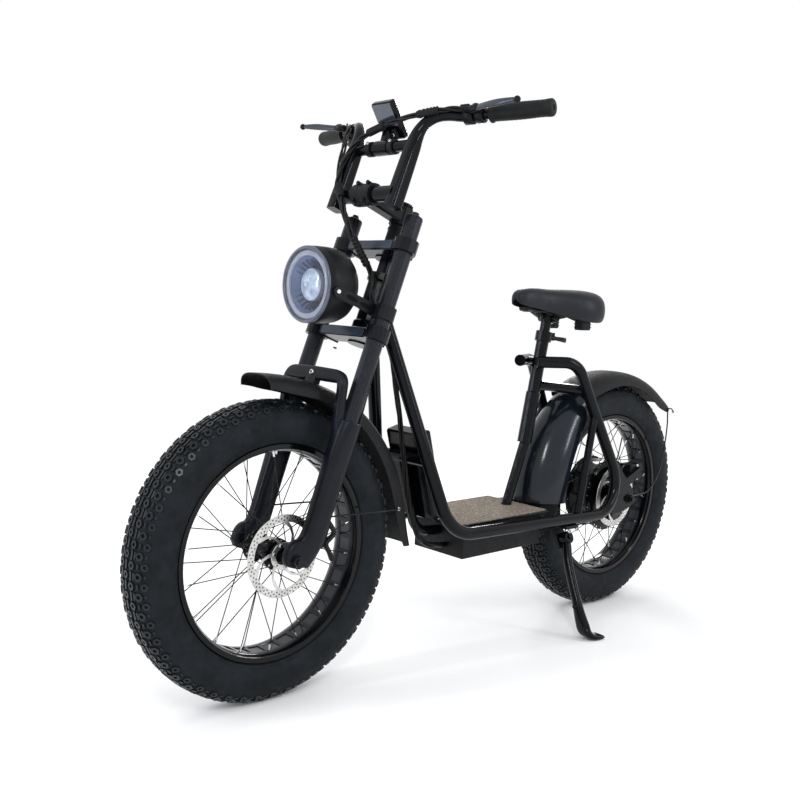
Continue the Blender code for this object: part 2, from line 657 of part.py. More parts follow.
def make_seat(bike):
    """Seat tube, its lower strut, the collar, and the post with the saddle that slides in it."""
    run = (vec(SEAT_TOP) - vec(SLEEVE_TOP)).normalized()
    top = vec(SEAT_TOP)
    depth = (top - vec(SLEEVE_BOTTOM)).length
    joint = (top - vec(SLEEVE_TOP)).length
    bore = POST_R + GAP
    floor = POST_LENGTH - POST_TOP + 0.004
    seat_tube = pin("seat_tube", [(SEAT_TUBE_R, 0), (SEAT_TUBE_R, -joint), (SLEEVE_R, -joint - 0.002),
                                  (SLEEVE_R, -depth), (0, -depth), (0, -floor), (bore, -floor), (bore, 0)],
                    "gloss_black", bike, top, top + run, steps=16)
    weld(seat_tube, rod("strut_form", vec(SLEEVE_BOTTOM) + run * 0.010, STRUT_FOOT, STRUT_R, None, bike))
    for side in (1, -1):
        weld(seat_tube, rod(f"rail_lug_{side}", (SEAT_LUG_X, side * (bore + 0.001), RAIL_END[2]),
                            (SEAT_LUG_X, side * RAIL_UPPER_CORNER[1], RAIL_END[2]), 0.0090, None, bike, sides=10))
    for side in (1, -1):
        first, last = vec(RAIL_UPPER_CORNER), vec(RAIL_END)
        first.y, last.y = side * first.y, side * last.y
        away = vec((0, side * 0.020, 0))
        cut(seat_tube, rod(f"lug_rail_{side}", first, last + (last - first) * 0.1, RAIL_R + GAP * 1.5, None, bike,
                           sides=16),
            block(f"lug_trim_{side}", (0.1, 0.04, 0.05), between(first, last, 0.483) + away, None, bike))
    foot = block("strut_trim", (0.08, 0.08, 0.04), (STRUT_FOOT[0], 0, DECK_Z + GAP - 0.02), None, bike)
    cut(seat_tube, foot)
    centre = top - run * (COLLAR_H / 2 + 0.001)
    collar = rod("seat_collar", centre - run * COLLAR_H / 2, centre + run * COLLAR_H / 2, COLLAR_R, "gloss_black", bike,
                 sides=16)
    weld(collar, block("collar_ears", (0.020, 0.016, COLLAR_H * 0.8), centre + vec((-0.024, 0.0, 0.0)), None, bike),
         rod("collar_lever", centre + vec((-0.030, 0.006, -0.002)), centre + vec((-0.036, -0.050, -0.010)), 0.0040,
             None, bike, end_radius=0.0055, sides=8))
    cut(collar, rod("collar_bore", centre - run * 0.05, centre + run * 0.05, SEAT_TUBE_R + GAP, None, bike, sides=16))

    slide = add_empty("seat_slide", bike, SEAT_TOP)
    post_top = run * POST_TOP
    post = rod("seat_post", run * (POST_TOP - POST_LENGTH), post_top, POST_R, "gloss_black", slide, sides=16)
    weld(post, pin("post_head", [(0.0165, 0.022), (0.0165, 0.0), (0.0, 0.0), (0.0, 0.022)], None, slide,
                   run * (POST_TOP - 0.018), run * POST_TOP),
         block("post_clamp", (0.030, 0.052, 0.016), run * (POST_TOP + 0.006), None, slide, bevel=0.002))
    make_saddle(slide, run * (POST_TOP + 0.0143))


def make_saddle(slide, seat):
    """Padded shell on two bent rods, with two rubber blocks at the back."""
    x0, z0 = seat.x, seat.z
    rows = []
    for x, half, top, bottom in SADDLE_SECTIONS:
        ring = []
        for index in range(12):
            angle = (index + 0.5) * math.tau / 12
            c, s = math.cos(angle), math.sin(angle)
            z = (top + bottom) / 2 + (top - bottom) / 2 * math.copysign(abs(s) ** 0.75, s)
            ring.append((x0 + x, half * math.copysign(abs(c) ** 0.7, c), z0 + z))
        rows.append(ring)
    saddle = lofted("saddle", rows, "vinyl", slide)
    soft = saddle.modifiers.new("soft", "SUBSURF")
    soft.levels = soft.render_levels = 1
    for side in (1, -1):
        cut(saddle, block(f"saddle_pocket_{side}", (0.030 + 2 * GAP, 0.024 + 2 * GAP, 0.022 + 2 * GAP),
                          (x0 - 0.085, side * 0.040, z0 + 0.0220), None, slide))
    cut(saddle, block("saddle_nose_pocket", (0.024 + 2 * GAP, 0.034 + 2 * GAP, 0.012 + 2 * GAP),
                      (x0 + 0.090, 0, z0 + 0.0240), None, slide))
    frame = None
    for side in (1, -1):
        y = side * SADDLE_ROD_Y
        path = rounded([((x0 + 0.090, side * 0.010, z0 + 0.0200), 0), ((x0 + 0.060, y, z0 + 0.0040), 0.020),
                        ((x0 - 0.045, y, z0 + 0.0040), 0.020), ((x0 - 0.085, side * 0.040, z0 + 0.0200), 0)], 4)
        bar = as_mesh(tube(f"saddle_rod_{side}", path, 0.0035, None if frame else "matt_black", slide, sides=8))
        lug = block(f"saddle_block_{side}", (0.030, 0.024, 0.022), (x0 - 0.085, side * 0.040, z0 + 0.0220), None,
                    slide)
        if frame:
            weld(frame, bar, lug)
        else:
            frame = weld(bar, lug)
    frame.name = "saddle_frame"
    weld(frame, block("saddle_nose_block", (0.024, 0.034, 0.012), (x0 + 0.090, 0, z0 + 0.0240), None, slide),
         block("saddle_cradle", (0.026, 0.050, 0.0120), (x0, 0, z0 + 0.0060 + GAP), None, slide, bevel=0.002))


def make_deck(bike):
    """Foot board with its grip sheet, the box under it and the battery before it."""
    middle = (DECK_FRONT + DECK_REAR) / 2
    length = DECK_FRONT - DECK_REAR
    block("deck_plate", (length, 2 * DECK_HALF, DECK_T), (middle, 0, DECK_Z - DECK_T / 2), "gloss_black", bike)
    grip = block("deck_grip", (length - 0.010, 2 * DECK_HALF - 0.008, GRIP_T), (middle, 0, DECK_Z + GRIP_T / 2 + GAP),
                 "grip_tape", bike)
    cut(grip, rod("grip_strut_hole", STRUT_FOOT, SLEEVE_BOTTOM, STRUT_R + 0.002, None, bike, sides=16))
    box_top = DECK_Z - DECK_T - GAP
    block("controller_box", (BOX_FRONT - BOX_REAR, 2 * BOX_HALF, box_top - BOX_BOTTOM),
          ((BOX_FRONT + BOX_REAR) / 2, 0, (box_top + BOX_BOTTOM) / 2), "matt_black", bike, bevel=0.002)
    lean = math.atan2(RAIL_TOP[0] - RAIL_FRONT_CORNER[0], RAIL_TOP[2] - RAIL_FRONT_CORNER[2])
    middle = at_height(RAIL_TOP, RAIL_FRONT_CORNER, BATTERY_MIDDLE_Z)
    back = CROSS_R + GAP + BATTERY_SIZE[0] / 2
    block("battery_pack", BATTERY_SIZE, (middle.x - back * math.cos(lean), 0, middle.z + back * math.sin(lean)),
          "gloss_black", bike, turn=Matrix.Rotation(lean, 4, "Y"), bevel=0.004)


def arc_rows(stations, centre, across):
    """Rows over a wheel: stations are (degrees from ahead, radius, half width, edge drop)."""
    rows = []
    for degrees, radius, half, drop in stations:
        angle = math.radians(degrees)
        row = []
        for y_share, drop_share in across:
            reach = radius - drop * drop_share
            row.append((centre[0] + reach * math.cos(angle), half * y_share, centre[2] + reach * math.sin(angle)))
        rows.append(row)
    return rows


FENDER_ACROSS = ((-1.0, 1.0), (-0.96, 0.45), (-0.80, 0.10), (-0.40, 0.0), (0.0, 0.0), (0.40, 0.0), (0.80, 0.10),
                 (0.96, 0.45), (1.0, 1.0))


def make_rear_fenders(bike):
    """The sheet between the seat and the wheel, and the fender over the wheel's top."""
    axle = (0.0, 0.0, AXLE_Z)
    shell("inner_mudguard", arc_rows(INNER_GUARD, axle, FENDER_ACROSS), FENDER_T, "gloss_black", bike)
    fender = shell("rear_fender", arc_rows(REAR_FENDER, axle, FENDER_ACROSS), FENDER_T, "matt_black", bike)
    for side in (1, -1):
        weld(fender, as_mesh(tube(f"rear_stay_{side}", [(x, side * y, z) for x, y, z in smooth_route(REAR_STAY, 14)],
                                  STAY_WIRE_R, None, bike, sides=6)))
        cut(fender, block(f"rear_stay_trim_{side}", (0.08, DROPOUT_T + 2 * GAP, 0.08), (0, side * DROPOUT_Y, AXLE_Z),
                          None, bike))


def make_stand(bike):
    """Side stand: a bracket under the left rail, and the leg that turns on its bolt."""
    x, y, z = STAND_PIVOT
    axis = vec(STAND_AXIS).normalized()
    upward = vec((0, -axis.z, axis.y))
    facing = Matrix.Rotation(math.atan2(axis.z, axis.y), 4, "X")
    rail = at_height_x(vec(RAIL_REAR_CORNER), vec(RAIL_FRONT_CORNER), x)
    seat_z = rail.z - RAIL_R - GAP
    slope = math.atan2(RAIL_FRONT_CORNER[2] - RAIL_REAR_CORNER[2], RAIL_FRONT_CORNER[0] - RAIL_REAR_CORNER[0])
    bracket = block("stand_bracket", (BRACKET_L, BRACKET_W, BRACKET_T), (x, rail.y - 0.0160, seat_z - BRACKET_T / 2),
                    "matt_black", bike, turn=Matrix.Rotation(-slope, 4, "Y"), bevel=0.001)
    cheek = vec(STAND_PIVOT) - axis * (STAND_EYE_HALF + GAP + CHEEK_T / 2)
    weld(bracket, block("stand_cheek", (0.034, CHEEK_T, CHEEK_H), cheek + upward * 0.0080, None, bike, turn=facing),
         rod("stand_bolt", cheek, vec(STAND_PIVOT) + axis * (STAND_EYE_HALF + 0.004), STAND_BOLT_R, None, bike))

    pivot = add_empty("stand_pivot", bike, STAND_PIVOT)
    foot = vec((STAND_FOOT[0] - x, STAND_FOOT[1] - y, floor_under(STAND_FOOT[1]) - z))
    leg = rod("stand_leg", (0, 0, 0), foot * 0.97, STAND_LEG_R, "matt_black", pivot, end_radius=STAND_LEG_R * 1.25)
    weld(leg, rod("stand_eye", -axis * STAND_EYE_HALF, axis * STAND_EYE_HALF, STAND_EYE_R, None, pivot, sides=16),
         block("stand_sole", SOLE_SIZE, foot + vec((0, 0, SOLE_SIZE[2] / 2 - 0.008)), None, pivot, bevel=0.004))
    floor = block("stand_floor_form", (0.3, 0.3, 0.1), (0, 0, -0.05), None, pivot)
    floor.location = foot
    floor.rotation_euler = (LEAN, 0, 0)
    cut(leg, floor, rod("stand_bore", -axis * 0.04, axis * 0.04, STAND_BOLT_R + GAP, None, pivot))


def tyre_lowest():
    """How far the leaning tyres' lowest edge is above the bike's zero plane, along world Z."""
    facet = math.cos(math.pi / TYRE_STEPS)
    return min((AXLE_Z - radius * facet) * math.cos(LEAN) - y * math.sin(LEAN) for radius, y in tyre_profile())


def floor_under(y):
    """Height, in the bike's frame, of the floor that the leaning bike stands on."""
    return (tyre_lowest() + y * math.sin(LEAN)) / math.cos(LEAN)


def steer_origin():
    """Foot of the perpendicular from the front axle to the steering axis."""
    return (WHEELBASE - FORK_OFFSET * math.cos(HEAD_TILT), 0.0, AXLE_Z - FORK_OFFSET * math.sin(HEAD_TILT))


def arch_sweep(name, steering, more):
    """The brace over the wheel that joins the fork legs; more makes it thicker all round."""
    half = [(point, wide + more, deep + more, power) for point, (wide, deep, power) in zip(ARCH_POINTS, ARCH_HALVES)]
    other = [(mirrored(point), wide, deep, power) for point, wide, deep, power in half[:-1]]
    return sweep(name, half + other[::-1], None, steering, across=(1, 0, 0.35))


def leg_form(name, side, steering, more, finish=None):
    """One cast leg of the fork; more makes it thicker all round."""
    rows = [[(px, side * py, pz) for px, py, pz in oval((ahead, y, level), hx + more, hy + more, 12, 0.75)]
            for level, ahead, y, hx, hy in LEG_SECTIONS]
    return lofted(name, rows, finish, steering)


def make_fork(steering):
    """Two crowns, stanchions, and the cast lowers with their arch."""
    crown_bore = STANCHION_R + GAP
    for name, level, reach in (("upper_crown", UPPER_CROWN, 0.0), ("lower_crown", LOWER_CROWN, 0.0)):
        body = block(name, (0.050, 2 * STANCHION_Y - 0.010, CROWN_H * 0.8), (0.0300, 0, level), "matt_black", steering,
                     bevel=0.003)
        weld(body, rod(f"{name}_middle", (0, 0, level - CROWN_H / 2), (0, 0, level + CROWN_H / 2), 0.0260, None,
                       steering, sides=16))
        for side in (1, -1):
            centre = (STANCHION_AHEAD, side * STANCHION_Y)
            weld(body, rod(f"{name}_clamp_{side}", (*centre, level - CROWN_H / 2), (*centre, level + CROWN_H / 2),
                           0.0245, None, steering, sides=16))
            cut(body, rod(f"{name}_bore_{side}", (*centre, level - 0.1), (*centre, level + 0.1), crown_bore, None,
                          steering, sides=16))
        if name == "upper_crown":
            cut(body, rod("upper_crown_bore", (0, 0, level - 0.1), (0, 0, level + 0.1), STEERER_R + GAP, None,
                          steering, sides=16))
        else:
            weld(body, rod("steerer_form", (0, 0, level), (0, 0, STEERER_TOP), STEERER_R, None, steering, sides=16))
    for side, word in ((1, "left"), (-1, "right")):
        y = side * STANCHION_Y
        start = LEG_TOP - LEG_BORE_DEPTH + 0.003
        pin(f"stanchion_{word}", [(STANCHION_R, STANCHION_TOP - start), (STANCHION_R, 0.0), (0.0, 0.0),
                                  (0.0, STANCHION_TOP - start + 0.004), (CAP_R * 0.7, STANCHION_TOP - start + 0.004)],
            "gloss_black", steering, (STANCHION_AHEAD, y, start), (STANCHION_AHEAD, y, STANCHION_TOP), steps=16)
    lowers = leg_form("fork_lowers", 1, steering, 0.0, "matt_black")
    weld(lowers, leg_form("right_leg", -1, steering, 0.0))
    weld(lowers, arch_sweep("arch_form", steering, 0.0))
    for side in (1, -1):
        centre = (STANCHION_AHEAD, side * STANCHION_Y)
        cut(lowers, rod(f"leg_bore_{side}", (*centre, LEG_TOP - LEG_BORE_DEPTH), (*centre, LEG_TOP + 0.1),
                        STANCHION_R + GAP, None, steering, sides=16),
            rod(f"leg_nut_seat_{side}", (FORK_OFFSET, side * (LEG_FOOT_Y + LEG_FOOT_HALF_Y), 0),
                (FORK_OFFSET, side * 0.15, 0), 0.0130, None, steering))
    cut(lowers, rod("leg_axle_bore", (FORK_OFFSET, -0.2, 0), (FORK_OFFSET, 0.2, 0), AXLE_R + GAP, None, steering))
    outer = LEG_FOOT_Y + LEG_FOOT_HALF_Y + GAP
    axle = rod("front_axle", (FORK_OFFSET, -outer - 0.012, 0), (FORK_OFFSET, outer + 0.012, 0), AXLE_R, "steel",
               steering)
    for side in (1, -1):
        weld(axle, rod(f"front_nut_{side}", (FORK_OFFSET, side * outer, 0), (FORK_OFFSET, side * (outer + 0.009), 0),
                       0.0110, None, steering, sides=6))


def make_front_fender(steering):
    place = add_empty("front_fender_place", steering, (FORK_OFFSET, 0, 0), HEAD_TILT)
    fender = shell("front_fender", arc_rows(FRONT_FENDER, (0, 0, 0), FENDER_ACROSS), FENDER_T, "matt_black", place)
    ahead, side, level = ARCH_POINTS[-1]
    foot = FENDER_TAB_FOOT
    weld(fender, block("fender_tab", (*FENDER_TAB, level - foot), (ahead, side, (level + foot) / 2), None, steering))
    cut(fender, arch_sweep("fender_arch_clearance", steering, GAP))
    for side in (1, -1):
        weld(fender, as_mesh(tube(f"front_stay_{side}", [(x, side * y, z) for x, y, z in smooth_route(FRONT_STAY, 8)],
                                  STAY_WIRE_R, None, place, sides=6)))
        cut(fender, leg_form(f"fender_leg_clearance_{side}", side, steering, GAP))


def make_lamp(steering):
    """Round headlight on two arms from clamps on the stanchions."""
    place = add_empty("lamp_place", steering, (LAMP_AHEAD, 0, LAMP_ALONG), HEAD_TILT)
    forward = Matrix.Rotation(math.pi / 2, 4, "Y")
    turned("headlight_housing", [(0.0, -0.0080), (LAMP_R - 0.007, -0.0080), (LAMP_R - 0.007, 0.0), (LAMP_R, 0.0),
                                 (LAMP_R + 0.001, -0.0250), (LAMP_R - 0.003, -0.0600), (LAMP_R - 0.016, -0.0820),
                                 (LAMP_R - 0.040, -0.0920), (0.0, -LAMP_DEPTH)],
           28, "matt_black", place, matrix=forward)
    turned("headlight_lens", [(0.0, 0.0040), (LAMP_R * 0.6, 0.0025), (LAMP_R - 0.0074, -0.0005),
                              (LAMP_R - 0.0074, -0.0077), (0.0, -0.0077)], 28, "lens", place, matrix=forward)
    housing = bpy.data.objects["headlight_housing"]
    for side, word in ((1, "left"), (-1, "right")):
        y = side * (LAMP_R + 0.0042)
        inner = side * (LAMP_R + 0.0042 - ARM_T / 2 - GAP)
        weld(housing, rod(f"lamp_boss_{word}", (LAMP_BOLT[0], side * (LAMP_R - 0.008), LAMP_BOLT[1]),
                          (LAMP_BOLT[0], inner, LAMP_BOLT[1]), 0.0080, None, steering))
        bracket = as_mesh(flat(f"headlight_bracket_{word}", [LAMP_ARM], ARM_T, "matt_black", steering,
                               Matrix.Translation((0, y, 0)) @ Matrix.Rotation(math.pi / 2, 4, "X")))
        centre = (STANCHION_AHEAD, side * STANCHION_Y)
        weld(bracket, rod(f"lamp_clamp_{word}", (*centre, LAMP_CLAMP - 0.014), (*centre, LAMP_CLAMP + 0.014), 0.0225,
                          None, steering, sides=16))
        cut(bracket, rod(f"lamp_clamp_bore_{word}", (*centre, LAMP_CLAMP - 0.1), (*centre, LAMP_CLAMP + 0.1),
                         STANCHION_R + GAP, None, steering, sides=16))


def make_bars(steering):
    """Stem, the tall handlebar with its two cross tubes, grips, levers and display."""
    stem = block("stem", (BAR_AHEAD, 0.034, 0.030), (BAR_AHEAD / 2, 0, STEM_ALONG), "matt_black", steering,
                 bevel=0.004)
    weld(stem, rod("stem_steerer_clamp", (0, 0, STEM_ALONG - 0.020), (0, 0, STEM_ALONG + 0.020), 0.0210, None,
                   steering, sides=16),
         rod("stem_bar_clamp", (BAR_AHEAD, -0.028, STEM_ALONG), (BAR_AHEAD, 0.028, STEM_ALONG), 0.0225, None, steering,
             sides=16))
    cut(stem, rod("stem_steerer_bore", (0, 0, STEM_ALONG - 0.1), (0, 0, STEERER_TOP + 2 * GAP), STEERER_R + GAP,
                  None, steering, sides=16),
        rod("stem_bar_bore", (BAR_AHEAD, -0.1, STEM_ALONG), (BAR_AHEAD, 0.1, STEM_ALONG), CROSSBAR_R + GAP, None,
            steering, sides=16))
    bar = None
    for side in (1, -1):
        stations = [((ahead, side * y, level), wide, deep, power)
                    for ahead, y, level, wide, deep, power in BAR_STATIONS]
        half = sweep(f"bar_{side}", stations, None if bar else "gloss_black", steering, across=(1, 0, 0))
        if bar:
            weld(bar, half)
        else:
            bar = half
    bar.name = "handlebar"
    weld(bar, rod("lower_crossbar", (BAR_AHEAD, -UPRIGHT_Y, STEM_ALONG), (BAR_AHEAD, UPRIGHT_Y, STEM_ALONG), CROSSBAR_R,
                  None, steering, sides=16),
         rod("upper_crossbar", (UPPER_BAR_AHEAD, -UPRIGHT_Y, UPPER_BAR_ALONG),
             (UPPER_BAR_AHEAD, UPRIGHT_Y, UPPER_BAR_ALONG), BAR_R, None, steering, sides=16))
    for side, word in ((1, "left"), (-1, "right")):
        start, end = vec(GRIP_START), vec(GRIP_END)
        start.y, end.y = side * start.y, side * end.y
        run = (end - start).normalized()
        length = (end - start).length
        pin(f"grip_{word}", [(0.0165, length + 0.008), (0.0165, 0.016), (0.0180, 0.004), (0.0180, 0.0), (BAR_R + GAP, 0.0),
                             (BAR_R + GAP, length + GAP), (0.0, length + GAP), (0.0, length + 0.010),
                             (0.0145, length + 0.010)],
            "rubber", steering, start, end)
        clamp = start - run * 0.022
        pin(f"lever_clamp_{word}", [(0.0160, 0.008), (0.0160, -0.008), (BAR_R + GAP, -0.008), (BAR_R + GAP, 0.008)],
            "matt_black", steering, clamp, end)
        lever = bpy.data.objects[f"lever_clamp_{word}"]
        lever.name = f"brake_lever_{word}"
        pivot = clamp + vec((0.0300, 0, 0.004))
        knee = vec((0.0760, side * 0.2150, 0.9130))
        tip = vec((0.0860, side * 0.3080, 0.9140))
        weld(lever, block(f"lever_body_{word}", (0.034, 0.024, 0.016), (clamp + pivot) / 2 + vec((0.008, 0, 0.002)), None,
                          steering, bevel=0.002),
             sweep(f"lever_blade_{word}", [(pivot, 0.008, 0.005, 0.8), (knee, 0.006, 0.0045, 0.8), (tip, 0.005, 0.004, 0.8)],
                   None, steering, across=(0, 0, 1), sides=8),
             sphere(f"lever_ball_{word}", tip, 0.0075, None, steering))
        cut(lever, rod(f"lever_bar_{word}", start - run * 0.050, start, BAR_R + GAP, None, steering, sides=16))
    tilt = Matrix.Rotation(HEAD_TILT + DISPLAY_TILT, 4, "Y")
    display = block("display", DISPLAY_SIZE, DISPLAY_CENTRE, "gloss_black", steering, turn=tilt, bevel=0.003)
    clamp = pin("display_clamp", [(0.0155, 0.020), (0.0155, -0.020), (BAR_R + GAP, -0.020), (BAR_R + GAP, 0.020)],
                None, steering, (UPPER_BAR_AHEAD, 0, UPPER_BAR_ALONG), (UPPER_BAR_AHEAD, 1, UPPER_BAR_ALONG))
    arm = sweep("display_arm", [((UPPER_BAR_AHEAD + 0.004, 0, UPPER_BAR_ALONG + 0.013), 0.010, 0.006, 0.6),
                                (tuple(DISPLAY_CENTRE), 0.010, 0.006, 0.6)], None, steering, across=(0, 1, 0), sides=8)
    weld(display, arm, clamp)


def sphere(name, centre, radius, finish, parent):
    bm = bmesh.new()
    bmesh.ops.create_uvsphere(bm, u_segments=10, v_segments=6, radius=radius)
    bmesh.ops.translate(bm, verts=bm.verts, vec=centre)
    return add(name, mesh_from(bm, name, 60), finish, parent)


def make_rotor(name, parent):
    """Drilled disc on slanted arms."""
    windows = []
    arms = 6
    for index in range(arms):
        start = index * math.tau / arms
        outer = [(0.0640 * math.cos(start + a), 0.0640 * math.sin(start + a)) for a in (0.10, 0.30, 0.50, 0.70, 0.90)]
        inner = [(0.0270 * math.cos(start + a - 0.35), 0.0270 * math.sin(start + a - 0.35)) for a in (0.85, 0.5, 0.15)]
        windows.append(outer + inner)
    outline = [circle(ROTOR_R, 36), circle(0.0160, 12)] + windows
    flat(name, outline, 2 * ROTOR_HALF, "steel", parent,
         Matrix.Translation((0, ROTOR_Y, 0)) @ Matrix.Rotation(math.pi / 2, 4, "X"))


def make_calipers(bike, steering):
    """Disc calipers: one inside the left fork leg, one on an adapter at the left axle plate."""
    slot = ROTOR_HALF + 0.0015
    front = block("front_brake_caliper", FRONT_CALIPER_SIZE, FRONT_CALIPER, "matt_black", steering, bevel=0.003)
    weld(front, block("caliper_foot", CALIPER_FOOT_SIZE, CALIPER_FOOT, None, steering))
    cut(front, leg_form("caliper_leg_clearance", 1, steering, GAP), rod("front_caliper_slot", (FORK_OFFSET, ROTOR_Y - slot, 0), (FORK_OFFSET, ROTOR_Y + slot, 0),
                   ROTOR_R + 0.003, None, steering, sides=24))
    rear = block("rear_brake_caliper", REAR_CALIPER_SIZE, REAR_CALIPER, "matt_black", bike, bevel=0.003)
    outer = DROPOUT_Y - DROPOUT_T / 2 - GAP
    inner = REAR_CALIPER[1] + REAR_CALIPER_SIZE[1] / 2 - 0.0005
    weld(rear, block("caliper_adapter", (0.090, outer - inner, 0.022), (-0.0150, (outer + inner) / 2, AXLE_Z + 0.0500), None,
                     bike, turn=Matrix.Rotation(math.radians(22), 4, "Y")))
    cut(rear, rod("rear_caliper_slot", (0, ROTOR_Y - slot, AXLE_Z), (0, ROTOR_Y + slot, AXLE_Z), ROTOR_R + 0.003, None,
                  bike, sides=24))


def centre_on_floor(bike):
    """Move the whole bike so that its box stands on zero, centred."""
    bpy.context.view_layer.update()
    depsgraph = bpy.context.evaluated_depsgraph_get()
    corners = []
    for obj in PARTS.objects:
        if obj.type in {"MESH", "CURVE"}:
            evaluated = obj.evaluated_get(depsgraph)
            mesh = evaluated.to_mesh()
            corners += [evaluated.matrix_world @ vert.co for vert in mesh.vertices]
            evaluated.to_mesh_clear()
    low = [min(point[axis] for point in corners) for axis in range(3)]
    high = [max(point[axis] for point in corners) for axis in range(3)]
    bike.location.x -= (low[0] + high[0]) / 2
    bike.location.y -= (low[1] + high[1]) / 2
    bike.location.z -= low[2]


def build():
    bike = add_empty("bike")
    bike.rotation_euler = (-LEAN, 0, 0)
    steering = add_empty("steering_axis", bike, steer_origin(), -HEAD_TILT)
    front = add_empty("front_wheel_axis", steering, (FORK_OFFSET, 0, 0), HEAD_TILT)
    rear = add_empty("rear_wheel_axis", bike, (0, 0, AXLE_Z))
    make_frame(bike)
    make_seat(bike)
    make_deck(bike)
    make_rear_fenders(bike)
    make_stand(bike)
    make_fork(steering)
    make_front_fender(steering)
    make_lamp(steering)
    make_bars(steering)
    make_calipers(bike, steering)
    make_wheel("front", FRONT_HUB, front, FRONT_FLANGE_R - 0.004, 0.0320)
    make_wheel("rear", REAR_HUB, rear, MOTOR_R + 0.002, 0.0300)
    make_rotor("front_rotor", front)
    make_rotor("rear_rotor", rear)
    axle = rod("rear_axle", (0, -REAR_AXLE_HALF, AXLE_Z), (0, REAR_AXLE_HALF, AXLE_Z), AXLE_R, "steel", bike)
    for side in (1, -1):
        y = DROPOUT_Y + DROPOUT_T / 2 + GAP
        weld(axle, rod(f"rear_nut_{side}", (0, side * y, AXLE_Z), (0, side * (y + 0.009), AXLE_Z), 0.0110, None, bike,
                       sides=6))
    centre_on_floor(bike)


clear_scene()
PARTS, CUTTERS = make_collections()
MATERIALS = make_materials()
build()
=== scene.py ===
"""Looks of the fat tire electric scooter: finishes, tread, spokes, cables and small fittings.

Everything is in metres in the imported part's own frame. Points written in bike
coordinates have +X forward, +Y left, +Z up, from the floor plane under the upright
bike's rear axle; points in steering coordinates are ahead of the steering axis, to the
left, and up along it.
"""
import json
import math

import bmesh
import bpy
from mathutils import Matrix, Vector


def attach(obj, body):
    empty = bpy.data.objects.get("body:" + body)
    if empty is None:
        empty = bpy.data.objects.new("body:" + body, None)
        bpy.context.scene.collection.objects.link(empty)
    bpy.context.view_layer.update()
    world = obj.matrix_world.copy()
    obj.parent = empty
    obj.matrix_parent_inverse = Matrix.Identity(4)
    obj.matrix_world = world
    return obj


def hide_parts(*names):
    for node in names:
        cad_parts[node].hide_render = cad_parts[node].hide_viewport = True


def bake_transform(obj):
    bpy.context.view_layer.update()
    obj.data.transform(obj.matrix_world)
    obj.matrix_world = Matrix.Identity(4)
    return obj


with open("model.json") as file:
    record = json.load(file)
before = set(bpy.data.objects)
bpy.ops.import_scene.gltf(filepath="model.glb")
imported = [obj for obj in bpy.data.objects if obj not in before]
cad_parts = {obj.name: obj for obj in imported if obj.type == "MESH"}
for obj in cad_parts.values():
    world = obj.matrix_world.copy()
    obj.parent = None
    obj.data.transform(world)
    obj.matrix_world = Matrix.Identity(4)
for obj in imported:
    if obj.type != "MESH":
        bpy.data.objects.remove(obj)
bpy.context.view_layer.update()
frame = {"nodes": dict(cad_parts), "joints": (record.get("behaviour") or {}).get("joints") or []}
nodes = frame["nodes"]
joints = {joint["name"]: joint for joint in frame["joints"]}

# Values shared with the part
WHEEL_R = 0.293
FORK_OFFSET = 0.0657
RIM_R = 0.2105
RIM_HALF = 0.037
WELL_R = 0.195
ROTOR_Y = 0.056
ROTOR_R = 0.08


def unit(values):
    return Vector(values).normalized()


def axes(x, y, z, origin):
    matrix = Matrix((x, y, z)).transposed().to_4x4()
    matrix.translation = origin
    return matrix


axle_way = unit(joints["rear_wheel_spin"]["axis"])
rear_axle = Vector(joints["rear_wheel_spin"]["pos_m"])
front_axle = Vector(joints["front_wheel_spin"]["pos_m"])
forward = unit(front_axle - rear_axle)
upward = forward.cross(axle_way)
steer_way = unit(joints["steering"]["axis"])
ahead_way = axle_way.cross(steer_way)

BIKE = axes(forward, axle_way, upward, rear_axle - upward * WHEEL_R)
REAR = axes(forward, axle_way, upward, rear_axle)
FRONT = axes(forward, axle_way, upward, front_axle)
STEER = axes(ahead_way, axle_way, steer_way, front_axle - ahead_way * FORK_OFFSET)

# Camera
CAMERA_YAW = 137.26
CAMERA_PITCH = -3.43
camera_data = bpy.data.cameras.new("camera")
camera_data.sensor_width = 36.0
camera_data.lens = 44.13
camera = bpy.data.objects.new("camera", camera_data)
bpy.context.scene.collection.objects.link(camera)
bike_zero = BIKE.translation
camera.location = bike_zero + Vector((2.1408, 1.56412, 0.6925))
yaw, pitch = math.radians(CAMERA_YAW), math.radians(CAMERA_PITCH)
camera_back = Vector((math.sin(yaw) * math.cos(pitch), -math.cos(yaw) * math.cos(pitch), math.sin(-pitch)))
camera.rotation_euler = camera_back.to_track_quat("Z", "Y").to_euler()
bpy.context.scene.camera = camera


# Materials
def shader_of(name, colour, roughness, metallic=0.0, specular=0.5, coat=0.0):
    material = bpy.data.materials.new(name)
    material.use_nodes = True
    tree = material.node_tree
    shader = tree.nodes["Principled BSDF"]
    shader.inputs["Base Color"].default_value = (*colour, 1.0)
    shader.inputs["Roughness"].default_value = roughness
    shader.inputs["Metallic"].default_value = metallic
    shader.inputs["Specular IOR Level"].default_value = specular
    shader.inputs["Coat Weight"].default_value = coat
    shader.inputs["Coat Roughness"].default_value = 0.05
    material.diffuse_color = (*colour, 1.0)
    return material, tree, shader


def node(tree, kind, **values):
    made = tree.nodes.new(kind)
    for key, value in values.items():
        if hasattr(made, key):
            setattr(made, key, value)
        else:
            made.inputs[key].default_value = value
    return made


def coordinates(tree):
    return node(tree, "ShaderNodeTexCoord").outputs["Object"]


def noise_of(tree, scale, detail=3.0):
    made = node(tree, "ShaderNodeTexNoise", Scale=scale, Detail=detail, Roughness=0.5)
    tree.links.new(coordinates(tree), made.inputs["Vector"])
    return made.outputs["Fac"]


